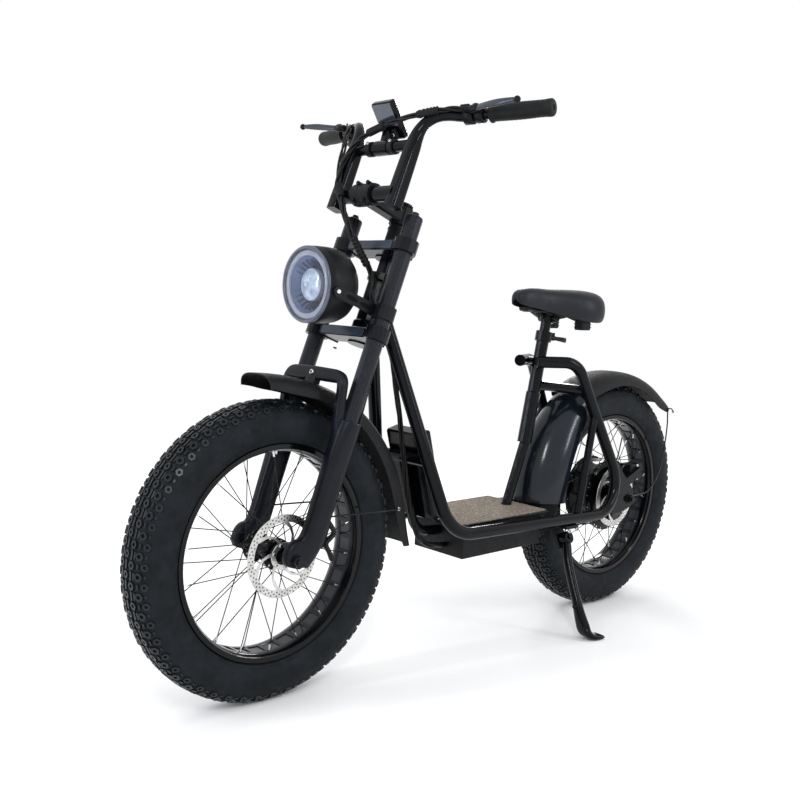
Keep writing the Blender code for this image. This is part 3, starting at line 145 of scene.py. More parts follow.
def spread(tree, value, low, high):
    made = node(tree, "ShaderNodeMapRange")
    made.inputs["From Min"].default_value = 0.3
    made.inputs["From Max"].default_value = 0.7
    made.inputs["To Min"].default_value = low
    made.inputs["To Max"].default_value = high
    tree.links.new(value, made.inputs["Value"])
    return made.outputs["Result"]


def tint(tree, shader, value, low, high):
    ramp = node(tree, "ShaderNodeValToRGB")
    ramp.color_ramp.elements[0].position = 0.3
    ramp.color_ramp.elements[1].position = 0.7
    ramp.color_ramp.elements[0].color = (*low, 1.0)
    ramp.color_ramp.elements[1].color = (*high, 1.0)
    tree.links.new(value, ramp.inputs["Fac"])
    tree.links.new(ramp.outputs["Color"], shader.inputs["Base Color"])
    return ramp


def relief(tree, shader, value, depth, strength):
    made = node(tree, "ShaderNodeBump", Strength=strength, Distance=depth)
    tree.links.new(value, made.inputs["Height"])
    tree.links.new(made.outputs["Normal"], shader.inputs["Normal"])


def surface(name, colour, roughness, low, high, grain, rough=None, bump=None, metallic=0.0, specular=0.5):
    """A material tinted by noise; grain, rough and bump begin with the scale and detail of their noise."""
    material, tree, shader = shader_of(name, colour, roughness, metallic, specular)
    tint(tree, shader, noise_of(tree, *grain), low, high)
    if rough:
        scale, detail, smooth, dull = rough
        tree.links.new(spread(tree, noise_of(tree, scale, detail), smooth, dull), shader.inputs["Roughness"])
    if bump:
        scale, detail, depth, strength = bump
        relief(tree, shader, noise_of(tree, scale, detail), depth, strength)
    return material


def satin_paint(name, low, high, rough):
    return surface(name, low, 0.5, low, high, (14.0, 3.0), (70.0, 3.0, *rough), (700.0, 2.0, 0.00008, 0.5),
                   specular=0.16)


def tyre_rubber(name, specular, rough):
    return surface(name, (0.006, 0.008, 0.01), 0.7, (0.003, 0.0042, 0.0056), (0.008, 0.0108, 0.0142), (26.0, 5.0),
                   (90.0, 3.0, *rough), (900.0, 3.0, 0.00012, 0.6), specular=specular)


def drawn_tube():
    """Satin stanchions with streaks along them."""
    material, tree, shader = shader_of("drawn_tube", (0.006, 0.007, 0.01), 0.26, metallic=0.15, specular=0.22)
    streaks = node(tree, "ShaderNodeTexNoise", Scale=1.0, Detail=4.0)
    turn = node(tree, "ShaderNodeMapping")
    turn.inputs["Rotation"].default_value = tuple(-v for v in STEER.to_euler())
    turn.inputs["Scale"].default_value = (1500.0, 1500.0, 3.0)
    tree.links.new(coordinates(tree), turn.inputs["Vector"])
    tree.links.new(turn.outputs["Vector"], streaks.inputs["Vector"])
    tint(tree, shader, streaks.outputs["Fac"], (0.0022, 0.0026, 0.0038), (0.017, 0.0205, 0.029))
    tree.links.new(spread(tree, streaks.outputs["Fac"], 0.18, 0.34), shader.inputs["Roughness"])
    return material


def grit_sheet():
    material, tree, shader = shader_of("grit_sheet", (0.21, 0.17, 0.13), 0.9)
    grains = node(tree, "ShaderNodeTexVoronoi", Scale=620.0)
    tree.links.new(coordinates(tree), grains.inputs["Vector"])
    ramp = tint(tree, shader, grains.outputs["Color"], (0.06, 0.047, 0.035), (0.3, 0.25, 0.19))
    ramp.color_ramp.elements[0].position = 0.15
    ramp.color_ramp.elements[1].position = 0.8
    bright = ramp.color_ramp.elements.new(0.93)
    bright.color = (0.75, 0.7, 0.62, 1.0)
    relief(tree, shader, grains.outputs["Distance"], 0.0006, 0.9)
    return material


def smooth_vinyl():
    material, tree, shader = shader_of("saddle_vinyl", (0.008, 0.01, 0.015), 0.38, specular=0.26)
    tint(tree, shader, noise_of(tree, 18.0), (0.003, 0.004, 0.0066), (0.0068, 0.0088, 0.014))
    tree.links.new(spread(tree, noise_of(tree, 60.0), 0.36, 0.5), shader.inputs["Roughness"])
    grain = node(tree, "ShaderNodeTexVoronoi", Scale=900.0)
    tree.links.new(coordinates(tree), grain.inputs["Vector"])
    relief(tree, shader, grain.outputs["Distance"], 0.00012, 0.35)
    return material


def lamp_glass():
    material, _, shader = shader_of("lamp_glass", (0.93, 0.95, 1.0), 0.02, specular=0.5)
    shader.inputs["Transmission Weight"].default_value = 1.0
    shader.inputs["IOR"].default_value = 1.35
    return material


def plain(name, colour, roughness, metallic=0.0, specular=0.5, coat=0.0, vary=0.25, scale=30.0):
    material, tree, shader = shader_of(name, colour, roughness, metallic, specular, coat)
    low = tuple(max(c * (1 - vary), 0.0) for c in colour)
    high = tuple(min(c * (1 + vary), 1.0) for c in colour)
    tint(tree, shader, noise_of(tree, scale, 4.0), low, high)
    return material


GLOSS = surface("gloss_paint", (0.002, 0.0025, 0.0035), 0.16, (0.0012, 0.0015, 0.0022), (0.0028, 0.0036, 0.0056),
                (9.0, 3.0), (55.0, 3.0, 0.1, 0.2), (260.0, 2.0, 0.00005, 0.5), specular=0.15)
SATIN = satin_paint("satin_paint", (0.0024, 0.0027, 0.0035), (0.005, 0.0056, 0.0075), (0.32, 0.46))
CAST = satin_paint("cast_paint", (0.0026, 0.0034, 0.0056), (0.006, 0.0078, 0.0125), (0.26, 0.38))
TYRE = tyre_rubber("tyre_rubber", 0.16, (0.56, 0.74))
TREAD = tyre_rubber("tread_rubber", 0.3, (0.26, 0.4))
GRIP = surface("grip_rubber", (0.005, 0.0052, 0.0056), 0.55, (0.0034, 0.0036, 0.004), (0.0066, 0.007, 0.008),
               (40.0, 3.0), None, (1200.0, 2.0, 0.0001, 0.6), specular=0.2)
STEEL = surface("brushed_steel", (0.6, 0.59, 0.57), 0.36, (0.5, 0.49, 0.47), (0.68, 0.67, 0.65), (30.0, 4.0),
                (420.0, 3.0, 0.28, 0.46), (800.0, 2.0, 0.00004, 0.4), metallic=1.0)
ZINC = surface("zinc_bolts", (0.62, 0.63, 0.64), 0.28, (0.45, 0.46, 0.48), (0.74, 0.75, 0.76), (160.0, 3.0),
               metallic=1.0)
TUBE = drawn_tube()
GRIT = grit_sheet()
VINYL = smooth_vinyl()
PLASTIC = surface("black_plastic", (0.006, 0.0063, 0.007), 0.5, (0.004, 0.0043, 0.005), (0.0085, 0.0088, 0.01),
                  (22.0, 4.0), (140.0, 3.0, 0.46, 0.64), (1500.0, 2.0, 0.00012, 0.5), specular=0.18)
CABLE = surface("cable_cover", (0.003, 0.003, 0.0036), 0.36, (0.0018, 0.0018, 0.0022), (0.0042, 0.0042, 0.005),
                (60.0, 3.0), None, (900.0, 2.0, 0.00006, 0.4), specular=0.22)
GLASS = lamp_glass()
CROWN = plain("crown_paint", (0.003, 0.004, 0.007), 0.22, specular=0.18)
# Blue-grey for the crowns' front faces: painted reflection, laid on as thin plates
CROWN_FRONT_REFLECTION = plain("crown_front_painted_reflection", (0.024, 0.036, 0.058), 0.26, specular=0.4)
# Gloss black mudguard paint with a blue tint; the tint is painted reflection
MUDGUARD_AND_SHEEN = plain("mudguard_paint_and_painted_sheen", (0.0052, 0.0078, 0.013), 0.16, specular=0.32)
RIM_PAINT = plain("rim_paint", (0.0015, 0.0018, 0.0026), 0.12, specular=0.2)
RIM_STRIP = plain("rim_strip", (0.0022, 0.005, 0.013), 0.12, specular=0.35)
BEZEL = plain("lamp_bezel", (0.06, 0.073, 0.11), 0.24, coat=0.3, vary=0.15)
DISH = plain("lamp_dish", (0.05, 0.095, 0.21), 0.16, metallic=0.6, coat=0.3, vary=0.4, scale=24.0)
HALO = plain("lamp_halo", (0.42, 0.45, 0.53), 0.35, coat=0.3, vary=0.1)
MIRROR = plain("lamp_reflector", (0.62, 0.68, 0.82), 0.12, metallic=0.9, vary=0.2, scale=60.0)
DARK = plain("hardware_black", (0.005, 0.005, 0.006), 0.3, specular=0.2)
PALE = plain("saddle_clip", (0.1, 0.1, 0.085), 0.5, vary=0.2)
# Near-black for sockets and small holes: painted shade of the hollows
HOLE_SHADE = plain("hole_painted_shade", (0.0012, 0.0012, 0.0015), 0.6, specular=0.1)
BULB = plain("lamp_bulb", (0.55, 0.66, 0.9), 0.1, metallic=0.2, coat=0.6, vary=0.4, scale=70.0)
# The screen's own dark blue, also laid on the display case's back as painted sheen
SCREEN_AND_SHEEN = plain("display_screen_and_painted_sheen", (0.03, 0.04, 0.065), 0.12, coat=0.8, vary=0.2)
LEVER = plain("lever_paint", (0.022, 0.027, 0.042), 0.28, vary=0.2)


def finish_nodes(material, *names):
    for name in names:
        slots = nodes[name].data.materials
        slots.clear()
        slots.append(material)


finish_nodes(GLOSS, "head_tube", "stay_left", "stay_right", "rear_cross_tube",
             "front_cross_tube", "seat_tube", "seat_collar", "seat_post", "deck_plate", "battery_pack", "display")
finish_nodes(CROWN, "upper_crown", "lower_crown")
finish_nodes(TUBE, "stanchion_left", "stanchion_right")
finish_nodes(SATIN, "stand_bracket", "stem",
             "headlight_bracket_left", "headlight_bracket_right", "front_brake_caliper", "rear_brake_caliper")
finish_nodes(PLASTIC, "controller_box")
finish_nodes(GRIT, "deck_grip")
finish_nodes(DARK, "front_axle", "rear_axle")


# Building
LAY = Matrix.Rotation(math.radians(-90), 4, "X")
LAY_UP = Matrix.Rotation(math.radians(90), 4, "X")


def piece(name, mesh, material, body, matrix=None, slot=None, replaces=(), smooth=40.0):
    """Link a mesh as a piece of the object that rides on a body."""
    materials = material if isinstance(material, (list, tuple)) else [material]
    for one in materials:
        mesh.materials.append(one)
    if smooth:
        mesh.shade_smooth()
        mesh.set_sharp_from_angle(angle=math.radians(smooth))
    if matrix:
        mesh.transform(matrix)
    obj = bpy.data.objects.new(name, mesh)
    bpy.context.scene.collection.objects.link(obj)
    if body:
        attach(obj, body)
    if replaces:
        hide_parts(*replaces)
    return obj


def to_mesh(bm, name):
    mesh = bpy.data.meshes.new(name)
    bm.normal_update()
    bm.to_mesh(mesh)
    bm.free()
    return mesh


def add_piece(bm, name, *details):
    """Turn bm's faces outward and link it as a piece; details are a piece's, from its material on."""
    bmesh.ops.recalc_face_normals(bm, faces=bm.faces)
    return piece(name, to_mesh(bm, name), *details)


def mirrored(rows, side):
    """Rows on the left, or with a side of -1 on the right."""
    return [(row[0], side * row[1], *row[2:]) for row in rows]


def between(start, end):
    start, end = Vector(start), Vector(end)
    turn = (end - start).to_track_quat("Z", "Y").to_matrix().to_4x4()
    return Matrix.Translation(start) @ turn


def add_turned(bm, profile, matrix=None, steps=32, closed=True, material=0):
    """Turn a profile of (radius, height) about Z into bm; a radius of 0 closes it to a point."""
    matrix = matrix or Matrix.Identity(4)
    rings = []
    for radius, height in profile:
        if radius < 1e-7:
            rings.append([bm.verts.new(matrix @ Vector((0, 0, height)))])
        else:
            rings.append([bm.verts.new(matrix @ Vector((radius * math.cos(a), radius * math.sin(a), height)))
                          for a in (index * math.tau / steps for index in range(steps))])
    pairs = list(zip(rings, rings[1:]))
    if closed:
        pairs.append((rings[-1], rings[0]))
    for lower, upper in pairs:
        if len(lower) == 1 and len(upper) == 1:
            continue
        for index in range(steps):
            after = (index + 1) % steps
            if len(lower) == 1:
                corners = (lower[0], upper[after], upper[index])
            elif len(upper) == 1:
                corners = (lower[index], lower[after], upper[0])
            else:
                corners = (lower[index], lower[after], upper[after], upper[index])
            bm.faces.new(corners).material_index = material


def add_cylinder(bm, start, end, radius, sides=16, end_radius=None, chamfer=0.0, material=0):
    length = (Vector(end) - Vector(start)).length
    far = radius if end_radius is None else end_radius
    c = min(chamfer, radius * 0.5)
    profile = [(0, 0), (radius - c, 0), (radius, c), (far, length - c), (far - c, length), (0, length)]
    if c == 0:
        profile = [(0, 0), (radius, 0), (far, length), (0, length)]
    add_turned(bm, profile, between(start, end), sides, closed=False, material=material)


def add_ring(bm, start, end, outer, inner, sides=32, chamfer=0.0006, material=0):
    length = (Vector(end) - Vector(start)).length
    c = chamfer
    profile = [(inner, 0), (outer - c, 0), (outer, c), (outer, length - c), (outer - c, length), (inner, length)]
    add_turned(bm, profile, between(start, end), sides, closed=True, material=material)


def add_box(bm, size, matrix, bevel=0.0, segments=2, material=0):
    made = bmesh.ops.create_cube(bm, size=1.0)
    verts = made["verts"]
    bmesh.ops.scale(bm, verts=verts, vec=size)
    if bevel:
        edges = list({edge for vert in verts for edge in vert.link_edges})
        result = bmesh.ops.bevel(bm, geom=edges, offset=bevel, segments=segments, affect="EDGES", profile=0.5)
        verts = list({vert for face in result["faces"] for vert in face.verts} | set(v for v in verts if v.is_valid))
        faces = {face for vert in verts for face in vert.link_faces}
        verts = list({vert for face in faces for vert in face.verts})
    bmesh.ops.transform(bm, matrix=matrix, verts=verts)
    for face in {face for vert in verts for face in vert.link_faces}:
        face.material_index = material


def curve_points(points, count):
    """Points at even steps of place on a Catmull-Rom curve through the given ones."""
    knots = [Vector(point) for point in points]
    knots = [2 * knots[0] - knots[1]] + knots + [2 * knots[-1] - knots[-2]]
    spans = len(knots) - 3
    route = []
    for index in range(count):
        place = index / (count - 1) * spans
        span = min(int(place), spans - 1)
        t = place - span
        a, b, c, d = knots[span:span + 4]
        route.append(0.5 * (2 * b + (c - a) * t + (2 * a - 5 * b + 4 * c - d) * t * t
                            + (3 * b - a - 3 * c + d) * t ** 3))
    return route


def add_tube(bm, points, radius, sides=10, material=0):
    """A round tube along points; radius is one number, or one for each point."""
    radii = radius if isinstance(radius, (list, tuple)) else [radius] * len(points)
    normal = None
    rings = []
    for index, point in enumerate(points):
        before = points[max(index - 1, 0)]
        after = points[min(index + 1, len(points) - 1)]
        run = (Vector(after) - Vector(before)).normalized()
        if normal is None:
            normal = run.orthogonal().normalized()
        normal = (normal - run * normal.dot(run)).normalized()
        side = run.cross(normal)
        rings.append([bm.verts.new(Vector(point) + (normal * math.cos(a) + side * math.sin(a)) * radii[index])
                      for a in (step * math.tau / sides for step in range(sides))])
    for lower, upper in zip(rings, rings[1:]):
        for index in range(sides):
            after = (index + 1) % sides
            bm.faces.new((lower[index], lower[after], upper[after], upper[index])).material_index = material
    bm.faces.new(rings[0][::-1]).material_index = material
    bm.faces.new(rings[-1]).material_index = material
    return rings


def add_prism(bm, outline, low, high, matrix, top_inset=0.0, material=0):
    """A flat closed outline raised from low to high, its top drawn in."""
    centre = Vector((sum(p[0] for p in outline) / len(outline), sum(p[1] for p in outline) / len(outline), 0))
    base, top = [], []
    for x, y in outline:
        base.append(bm.verts.new(matrix @ Vector((x, y, low))))
        away = Vector((x, y, 0)) - centre
        pulled = centre + away * max(0.0, 1 - top_inset / max(away.length, 1e-6))
        top.append(bm.verts.new(matrix @ Vector((pulled.x, pulled.y, high))))
    count = len(outline)
    for index in range(count):
        after = (index + 1) % count
        bm.faces.new((base[index], base[after], top[after], top[index])).material_index = material
    bm.faces.new(top).material_index = material
    bm.faces.new(base[::-1]).material_index = material


def smooth_rows(rows, steps):
    """Rows of numbers with steps - 1 more between each two, on a Catmull-Rom curve."""
    result = []
    last = len(rows) - 1
    for span in range(last):
        four = [rows[min(max(span + k, 0), last)] for k in (-1, 0, 1, 2)]
        for step in range(steps):
            t = step / steps
            result.append([0.5 * (2 * q + (r - p) * t + (2 * p - 5 * q + 4 * r - s) * t * t
                                  + (3 * q - p - 3 * r + s) * t ** 3) for p, q, r, s in zip(*four)])
    result.append(list(rows[-1]))
    return result


def oval(wide, deep, sides, squareness):
    """Points of a rounded section; a squareness of 1 is an ellipse and less is boxier."""
    points = []
    for index in range(sides):
        a = (index + 0.5) * math.tau / sides
        c, s = math.cos(a), math.sin(a)
        points.append((math.copysign(abs(c) ** squareness, c) * wide, math.copysign(abs(s) ** squareness, s) * deep))
    return points


def add_loft(bm, rows, material=0):
    """Skin closed rows of points and cap both ends."""
    rings = [[bm.verts.new(point) for point in row] for row in rows]
    count = len(rings[0])
    for a, b in zip(rings, rings[1:]):
        for k in range(count):
            n = (k + 1) % count
            bm.faces.new((a[k], a[n], b[n], b[k])).material_index = material
    bm.faces.new(rings[0][::-1]).material_index = material
    bm.faces.new(rings[-1]).material_index = material


def add_sweep(bm, rows, across, sides=16, material=0, steps=1):
    """A bar whose rows give a point, half width, half depth and squareness."""
    rows = smooth_rows(rows, steps) if steps > 1 else rows
    points = [Vector(row[:3]) for row in rows]
    rings = []
    for index, row in enumerate(rows):
        run = (points[min(index + 1, len(points) - 1)] - points[max(index - 1, 0)]).normalized()
        side = (Vector(across) - run * Vector(across).dot(run)).normalized()
        up = run.cross(side)
        rings.append([points[index] + side * x + up * y for x, y in oval(row[3], row[4], sides, row[5])])
    add_loft(bm, rings, material)


def add_ball(bm, centre, radius, material=0):
    made = bmesh.ops.create_uvsphere(bm, u_segments=20, v_segments=12, radius=radius,
                                     matrix=Matrix.Translation(Vector(centre)))
    for face in {face for vert in made["verts"] for face in vert.link_faces}:
        face.material_index = material


def add_bolt(bm, foot, way, radius, high, material=0, socket_shade=1, sides=20):
    """A round bolt head with its hexagon socket drawn as a dark hexagon of painted shade."""
    foot, way = Vector(foot), Vector(way).normalized()
    add_cylinder(bm, foot, foot + way * high, radius, sides, radius * 0.93, radius * 0.12, material)
    add_cylinder(bm, foot + way * (high - 0.0004), foot + way * (high + 0.0001), radius * 0.5, 6, material=socket_shade)


def add_hex(bm, foot, way, radius, high, material=0):
    foot, way = Vector(foot), Vector(way).normalized()
    add_cylinder(bm, foot, foot + way * high, radius, 6, radius * 0.97, radius * 0.08, material)


def strands(route, count, offset, twist):
    """Routes that wind round a route at an offset, with twist turns over its length."""
    normal, result = None, [[] for _ in range(count)]
    for index, point in enumerate(route):
        run = (route[min(index + 1, len(route) - 1)] - route[max(index - 1, 0)]).normalized()
        normal = run.orthogonal().normalized() if normal is None else (normal - run * normal.dot(run)).normalized()
        side = run.cross(normal)
        for number in range(count):
            a = math.tau * (number / count + twist * index / (len(route) - 1))
            result[number].append(point + (normal * math.cos(a) + side * math.sin(a)) * offset)
    return result


def add_wrap(bm, route, radius, ribs, material=0):
    """A ribbed sleeve: rings of two radii along part of a route."""
    points = curve_points(route, ribs * 4 + 1)
    radii = [radius if index % 4 in (1, 2) else radius * 0.86 for index in range(len(points))]
    add_tube(bm, points, radii, 14, material)


# Tyres
CROWN_SECTION = ((RIM_R + 0.0004, 0.0322), (RIM_R + 0.002, 0.0356), (RIM_R + 0.003, 0.0384), (RIM_R + 0.006, 0.0402),
                 (RIM_R + 0.0072, 0.0412), (RIM_R + 0.0082, 0.041), (0.223, 0.044), (0.23, 0.0466), (0.237, 0.0482),
                 (0.245, 0.0487), (0.251, 0.0483), (0.257, 0.0473), (0.259, 0.0472), (0.26, 0.0466), (0.266, 0.0446),
                 (0.2715, 0.0415), (0.2765, 0.0375), (0.2805, 0.033), (0.284, 0.0275), (0.2858, 0.0215),
                 (0.2874, 0.015), (0.2882, 0.0075), (0.2884, 0.0))
TREAD_REPEATS = 50
TYRE_STEPS = 150
LUG_FOOT = -0.0012
BED = (RIM_R - 0.0095, 0.0322)


def section_place(reach):
    """Radius, side and outward direction at a distance round the tyre from its crown."""
    points = list(reversed(CROWN_SECTION))
    left = abs(reach)
    for (r0, y0), (r1, y1) in zip(points, points[1:]):
        length = math.hypot(r1 - r0, y1 - y0)
        if left <= length:
            t = left / length
            run = Vector((r1 - r0, y1 - y0)).normalized()
            out = Vector((run.y, -run.x))
            return r0 + (r1 - r0) * t, math.copysign(y0 + (y1 - y0) * t, reach), out.x, math.copysign(out.y, reach)
        left -= length
    raise ValueError("reach past the bead")


def lug_matrix(angle, reach):
    """Places a lug: X round the wheel, Y across the tyre, Z outward."""
    radius, side, out_r, out_y = section_place(reach if reach else 1e-6)
    if abs(reach) < 1e-6:
        side, out_r, out_y = 0.0, 1.0, 0.0
    c, s = math.cos(angle), math.sin(angle)
    place = Vector((radius * c, side, radius * s))
    up = Vector((out_r * c, out_y, out_r * s))
    round_way = Vector((-s, 0, c))
    across = up.cross(round_way)
    return axes(round_way, across, up, place)


def add_ring_lug(bm, size, high, matrix):
    """A ring raised from the tread, cut through by a slit of a few degrees."""
    slit, steps = 0.06, 6
    rows = []
    for k in range(steps + 1):
        a = slit + (math.tau - 2 * slit) * k / steps
        x, y = size * math.cos(a), size * 0.92 * math.sin(a)
        rows.append([matrix @ Vector((x * share, y * share, level)) for share, level in
                     ((1.0, LUG_FOOT), (0.94, high), (0.424, high), (0.4, LUG_FOOT))])
    add_loft(bm, rows, 1)


def bar_outline(length, width, skew=0.0):
    x, y = length / 2, width / 2
    c = min(x, y) * 0.5
    return [(-x + c, -y), (x - c, -y), (x, -y + c + skew), (x, y - c + skew), (x - c, y), (-x + c, y),
            (-x, y - c - skew), (-x, -y + c - skew)]


# place in the repeat, reach from the crown, kind, size along, size across, height
LUGS = ((0.0, 0.0, "ring", 0.0082, 0.0, 0.0036), (0.5, 0.0, "bar", 0.018, 0.005, 0.0034),
        (0.5, 0.015, "ring", 0.0088, 0.0, 0.0032), (0.0, 0.0135, "bar", 0.0185, 0.0048, 0.0027),
        (0.0, 0.0205, "bar", 0.015, 0.0036, 0.0026), (0.0, 0.03, "ring", 0.0092, 0.0, 0.0033),
        (0.5, 0.0285, "bar", 0.01, 0.0046, 0.003), (0.5, 0.041, "ring", 0.008, 0.0, 0.0026),
        (0.0, 0.042, "bar", 0.007, 0.0044, 0.0016))


def make_tyre(end, matrix, body):
    bm = bmesh.new()
    half = [BED, *CROWN_SECTION]
    add_turned(bm, [(r, -y) for r, y in half[:-1]] + half[::-1], LAY, TYRE_STEPS)
    for repeat in range(TREAD_REPEATS):
        for place, reach, kind, size, wide, high in LUGS:
            angle = (repeat + place) * math.tau / TREAD_REPEATS
            for side in ((1, -1) if reach else (1,)):
                at = lug_matrix(angle, side * reach)
                if kind == "ring":
                    mouth = Matrix.Rotation(math.radians(35 if side > 0 else -35), 4, "Z")
                    add_ring_lug(bm, size, high, at @ mouth)
                else:
                    add_prism(bm, bar_outline(size, wide, 0.0006 * side), LUG_FOOT, high, at, 0.0005, 1)
    add_piece(bm, f"{end}_tyre_tread", [TYRE, TREAD], body, matrix, "tyre", (f"{end}_tyre",), 32)


make_tyre("front", FRONT, "front_wheel")
make_tyre("rear", REAR, "rear_wheel")


# Rims, spokes and hubs
WINDOWS = 36
WINDOW_HALF = math.radians(3.7)
WINDOW_Y = 0.0155
SPOKES = 36
PITCH = 10.0
SPOKE_R = 0.001


def make_rim(end, matrix, body):
    """Rim with a row of windows in its well, through which the strip under the tube shows."""
    bm = bmesh.new()
    steps = WINDOWS * 6
    lip = RIM_HALF - 0.0045
    across = [(RIM_R, lip), (RIM_R, RIM_HALF - 0.0008), (RIM_R - 0.0008, RIM_HALF), (RIM_R - 0.009, RIM_HALF),
              (RIM_R - 0.0102, RIM_HALF - 0.001), (RIM_R - 0.0106, RIM_HALF - 0.0034), (WELL_R + 0.0026, 0.03),
              (WELL_R + 0.0008, 0.027), (WELL_R, 0.02), (WELL_R, WINDOW_Y), (WELL_R, 0.0)]
    section = across + [(r, -y) for r, y in across[-2::-1]] + [(RIM_R - 0.0088, -lip), (RIM_R - 0.0088, lip)]
    rings = []
    for index in range(steps):
        # cells are bunched so that each window spans two of its six steps on either side of its middle
        cell, part = divmod(index, 6)
        offsets = (-WINDOW_HALF, -WINDOW_HALF * 0.5, 0.0, WINDOW_HALF * 0.5, WINDOW_HALF, math.radians(5.0))
        angle = math.radians(PITCH * cell + 4.5) + offsets[part]
        rings.append([bm.verts.new((r * math.cos(angle), y, r * math.sin(angle))) for r, y in section])
    window_faces = []
    count = len(section)
    middle = across.index((WELL_R, 0.0))
    for index, ring in enumerate(rings):
        after = rings[(index + 1) % steps]
        part = index % 6
        for k in range(count):
            n = (k + 1) % count
            face = bm.faces.new((ring[k], ring[n], after[n], after[k]))
            if part < 4 and k in (middle - 1, middle):
                window_faces.append((index // 6, face))
    for cell in range(WINDOWS):
        region = [face for number, face in window_faces if number == cell]
        bmesh.ops.inset_region(bm, faces=region, thickness=0.0008, use_even_offset=True)
        for vert in {vert for face in region for vert in face.verts}:
            vert.co += Vector((vert.co.x, 0, vert.co.z)).normalized() * 0.0018
        for face in region:
            face.material_index = 1
    add_piece(bm, f"{end}_rim_shell", [RIM_PAINT, RIM_STRIP], body, matrix, "gloss_black", (f"{end}_rim",), 34)


def make_spokes(end, matrix, body, circle, flange, lead_degrees):
    bm = bmesh.new()
    for index in range(SPOKES):
        side = 1 if index % 2 == 0 else -1
        lead = 1 if index % 4 < 2 else -1
        rim_angle = math.radians(PITCH * index + 9.5)
        hub_angle = rim_angle + lead * math.radians(lead_degrees)
        y = side * (flange + lead * 0.0022)
        inner = Vector((circle * math.cos(hub_angle), y, circle * math.sin(hub_angle)))
        reach = WELL_R + 0.0005
        outer = Vector((reach * math.cos(rim_angle), side * 0.018, reach * math.sin(rim_angle)))
        add_cylinder(bm, inner, outer, SPOKE_R, 8)
        run = (outer - inner).normalized()
        add_cylinder(bm, outer - run * 0.012, outer - run * 0.001, 0.0019, 8, 0.0024, 0.0003, material=1)
        head = Vector((inner.x, inner.y + side * lead * 0.0016, inner.z))
        add_cylinder(bm, head, head + Vector((0, side * lead * 0.0012, 0)), 0.0022, 8, material=1)
    add_piece(bm, f"{end}_spokes", [SATIN, ZINC], body, matrix, "gloss_black")


make_rim("front", FRONT, "front_wheel")
make_rim("rear", REAR, "rear_wheel")
make_spokes("front", FRONT, "front_wheel", 0.0262, 0.032, 62)
make_spokes("rear", REAR, "rear_wheel", 0.0905, 0.03, 48)


def make_hub(end, matrix, body, profile, holes, circle, flange):
    bm = bmesh.new()
    add_turned(bm, profile, LAY, 64)
    for side in (1, -1):
        for index in range(holes):
            a = math.radians(index * 360 / holes + 4)
            centre = Vector((circle * math.cos(a), side * flange, circle * math.sin(a)))
            add_cylinder(bm, centre, centre + Vector((0, side * 0.0006, 0)), 0.0019, 8, material=1)
    add_piece(bm, f"{end}_hub_shell", [GLOSS, ZINC], body, matrix, "gloss_black")


AXLE_BORE = 0.0063
make_hub("front", FRONT, "front_wheel",
         [(0.0225, 0.0546), (0.023, 0.054), (0.023, 0.0455), (0.0222, 0.0447), (0.0165, 0.042), (0.016, 0.037),
          (0.029, 0.0352), (0.03, 0.0345), (0.03, 0.03), (0.029, 0.029), (0.017, 0.0262), (0.015, 0.024),
          (0.014, 0.01), (0.014, -0.01), (0.015, -0.024), (0.017, -0.0262), (0.029, -0.029), (0.03, -0.03),
          (0.03, -0.0345), (0.029, -0.0352), (0.016, -0.0372), (0.0138, -0.04), (0.0132, -0.0478),
          (AXLE_BORE, -0.0478), (AXLE_BORE, 0.0546)], 18, 0.0262, 0.0346)
make_hub("rear", REAR, "rear_wheel",
         [(0.0225, 0.0546), (0.023, 0.054), (0.023, 0.0442), (0.025, 0.0436), (0.056, 0.0418), (0.06, 0.041),
          (0.078, 0.0384), (0.082, 0.0374), (0.086, 0.0352), (0.0878, 0.0341), (0.0935, 0.0339), (0.094, 0.0334),
          (0.094, 0.0268), (0.0935, 0.0262), (0.0884, 0.0252), (0.088, 0.0244), (0.088, -0.0244), (0.0884, -0.0252),
          (0.0935, -0.0262), (0.094, -0.0268), (0.094, -0.0334), (0.0935, -0.0339), (0.0878, -0.0341),
          (0.086, -0.0368), (0.082, -0.0398), (0.062, -0.0452), (0.058, -0.047), (0.024, -0.0506), (0.02, -0.0518),
          (AXLE_BORE, -0.0518), (AXLE_BORE, 0.0546)], 18, 0.0905, 0.0338)


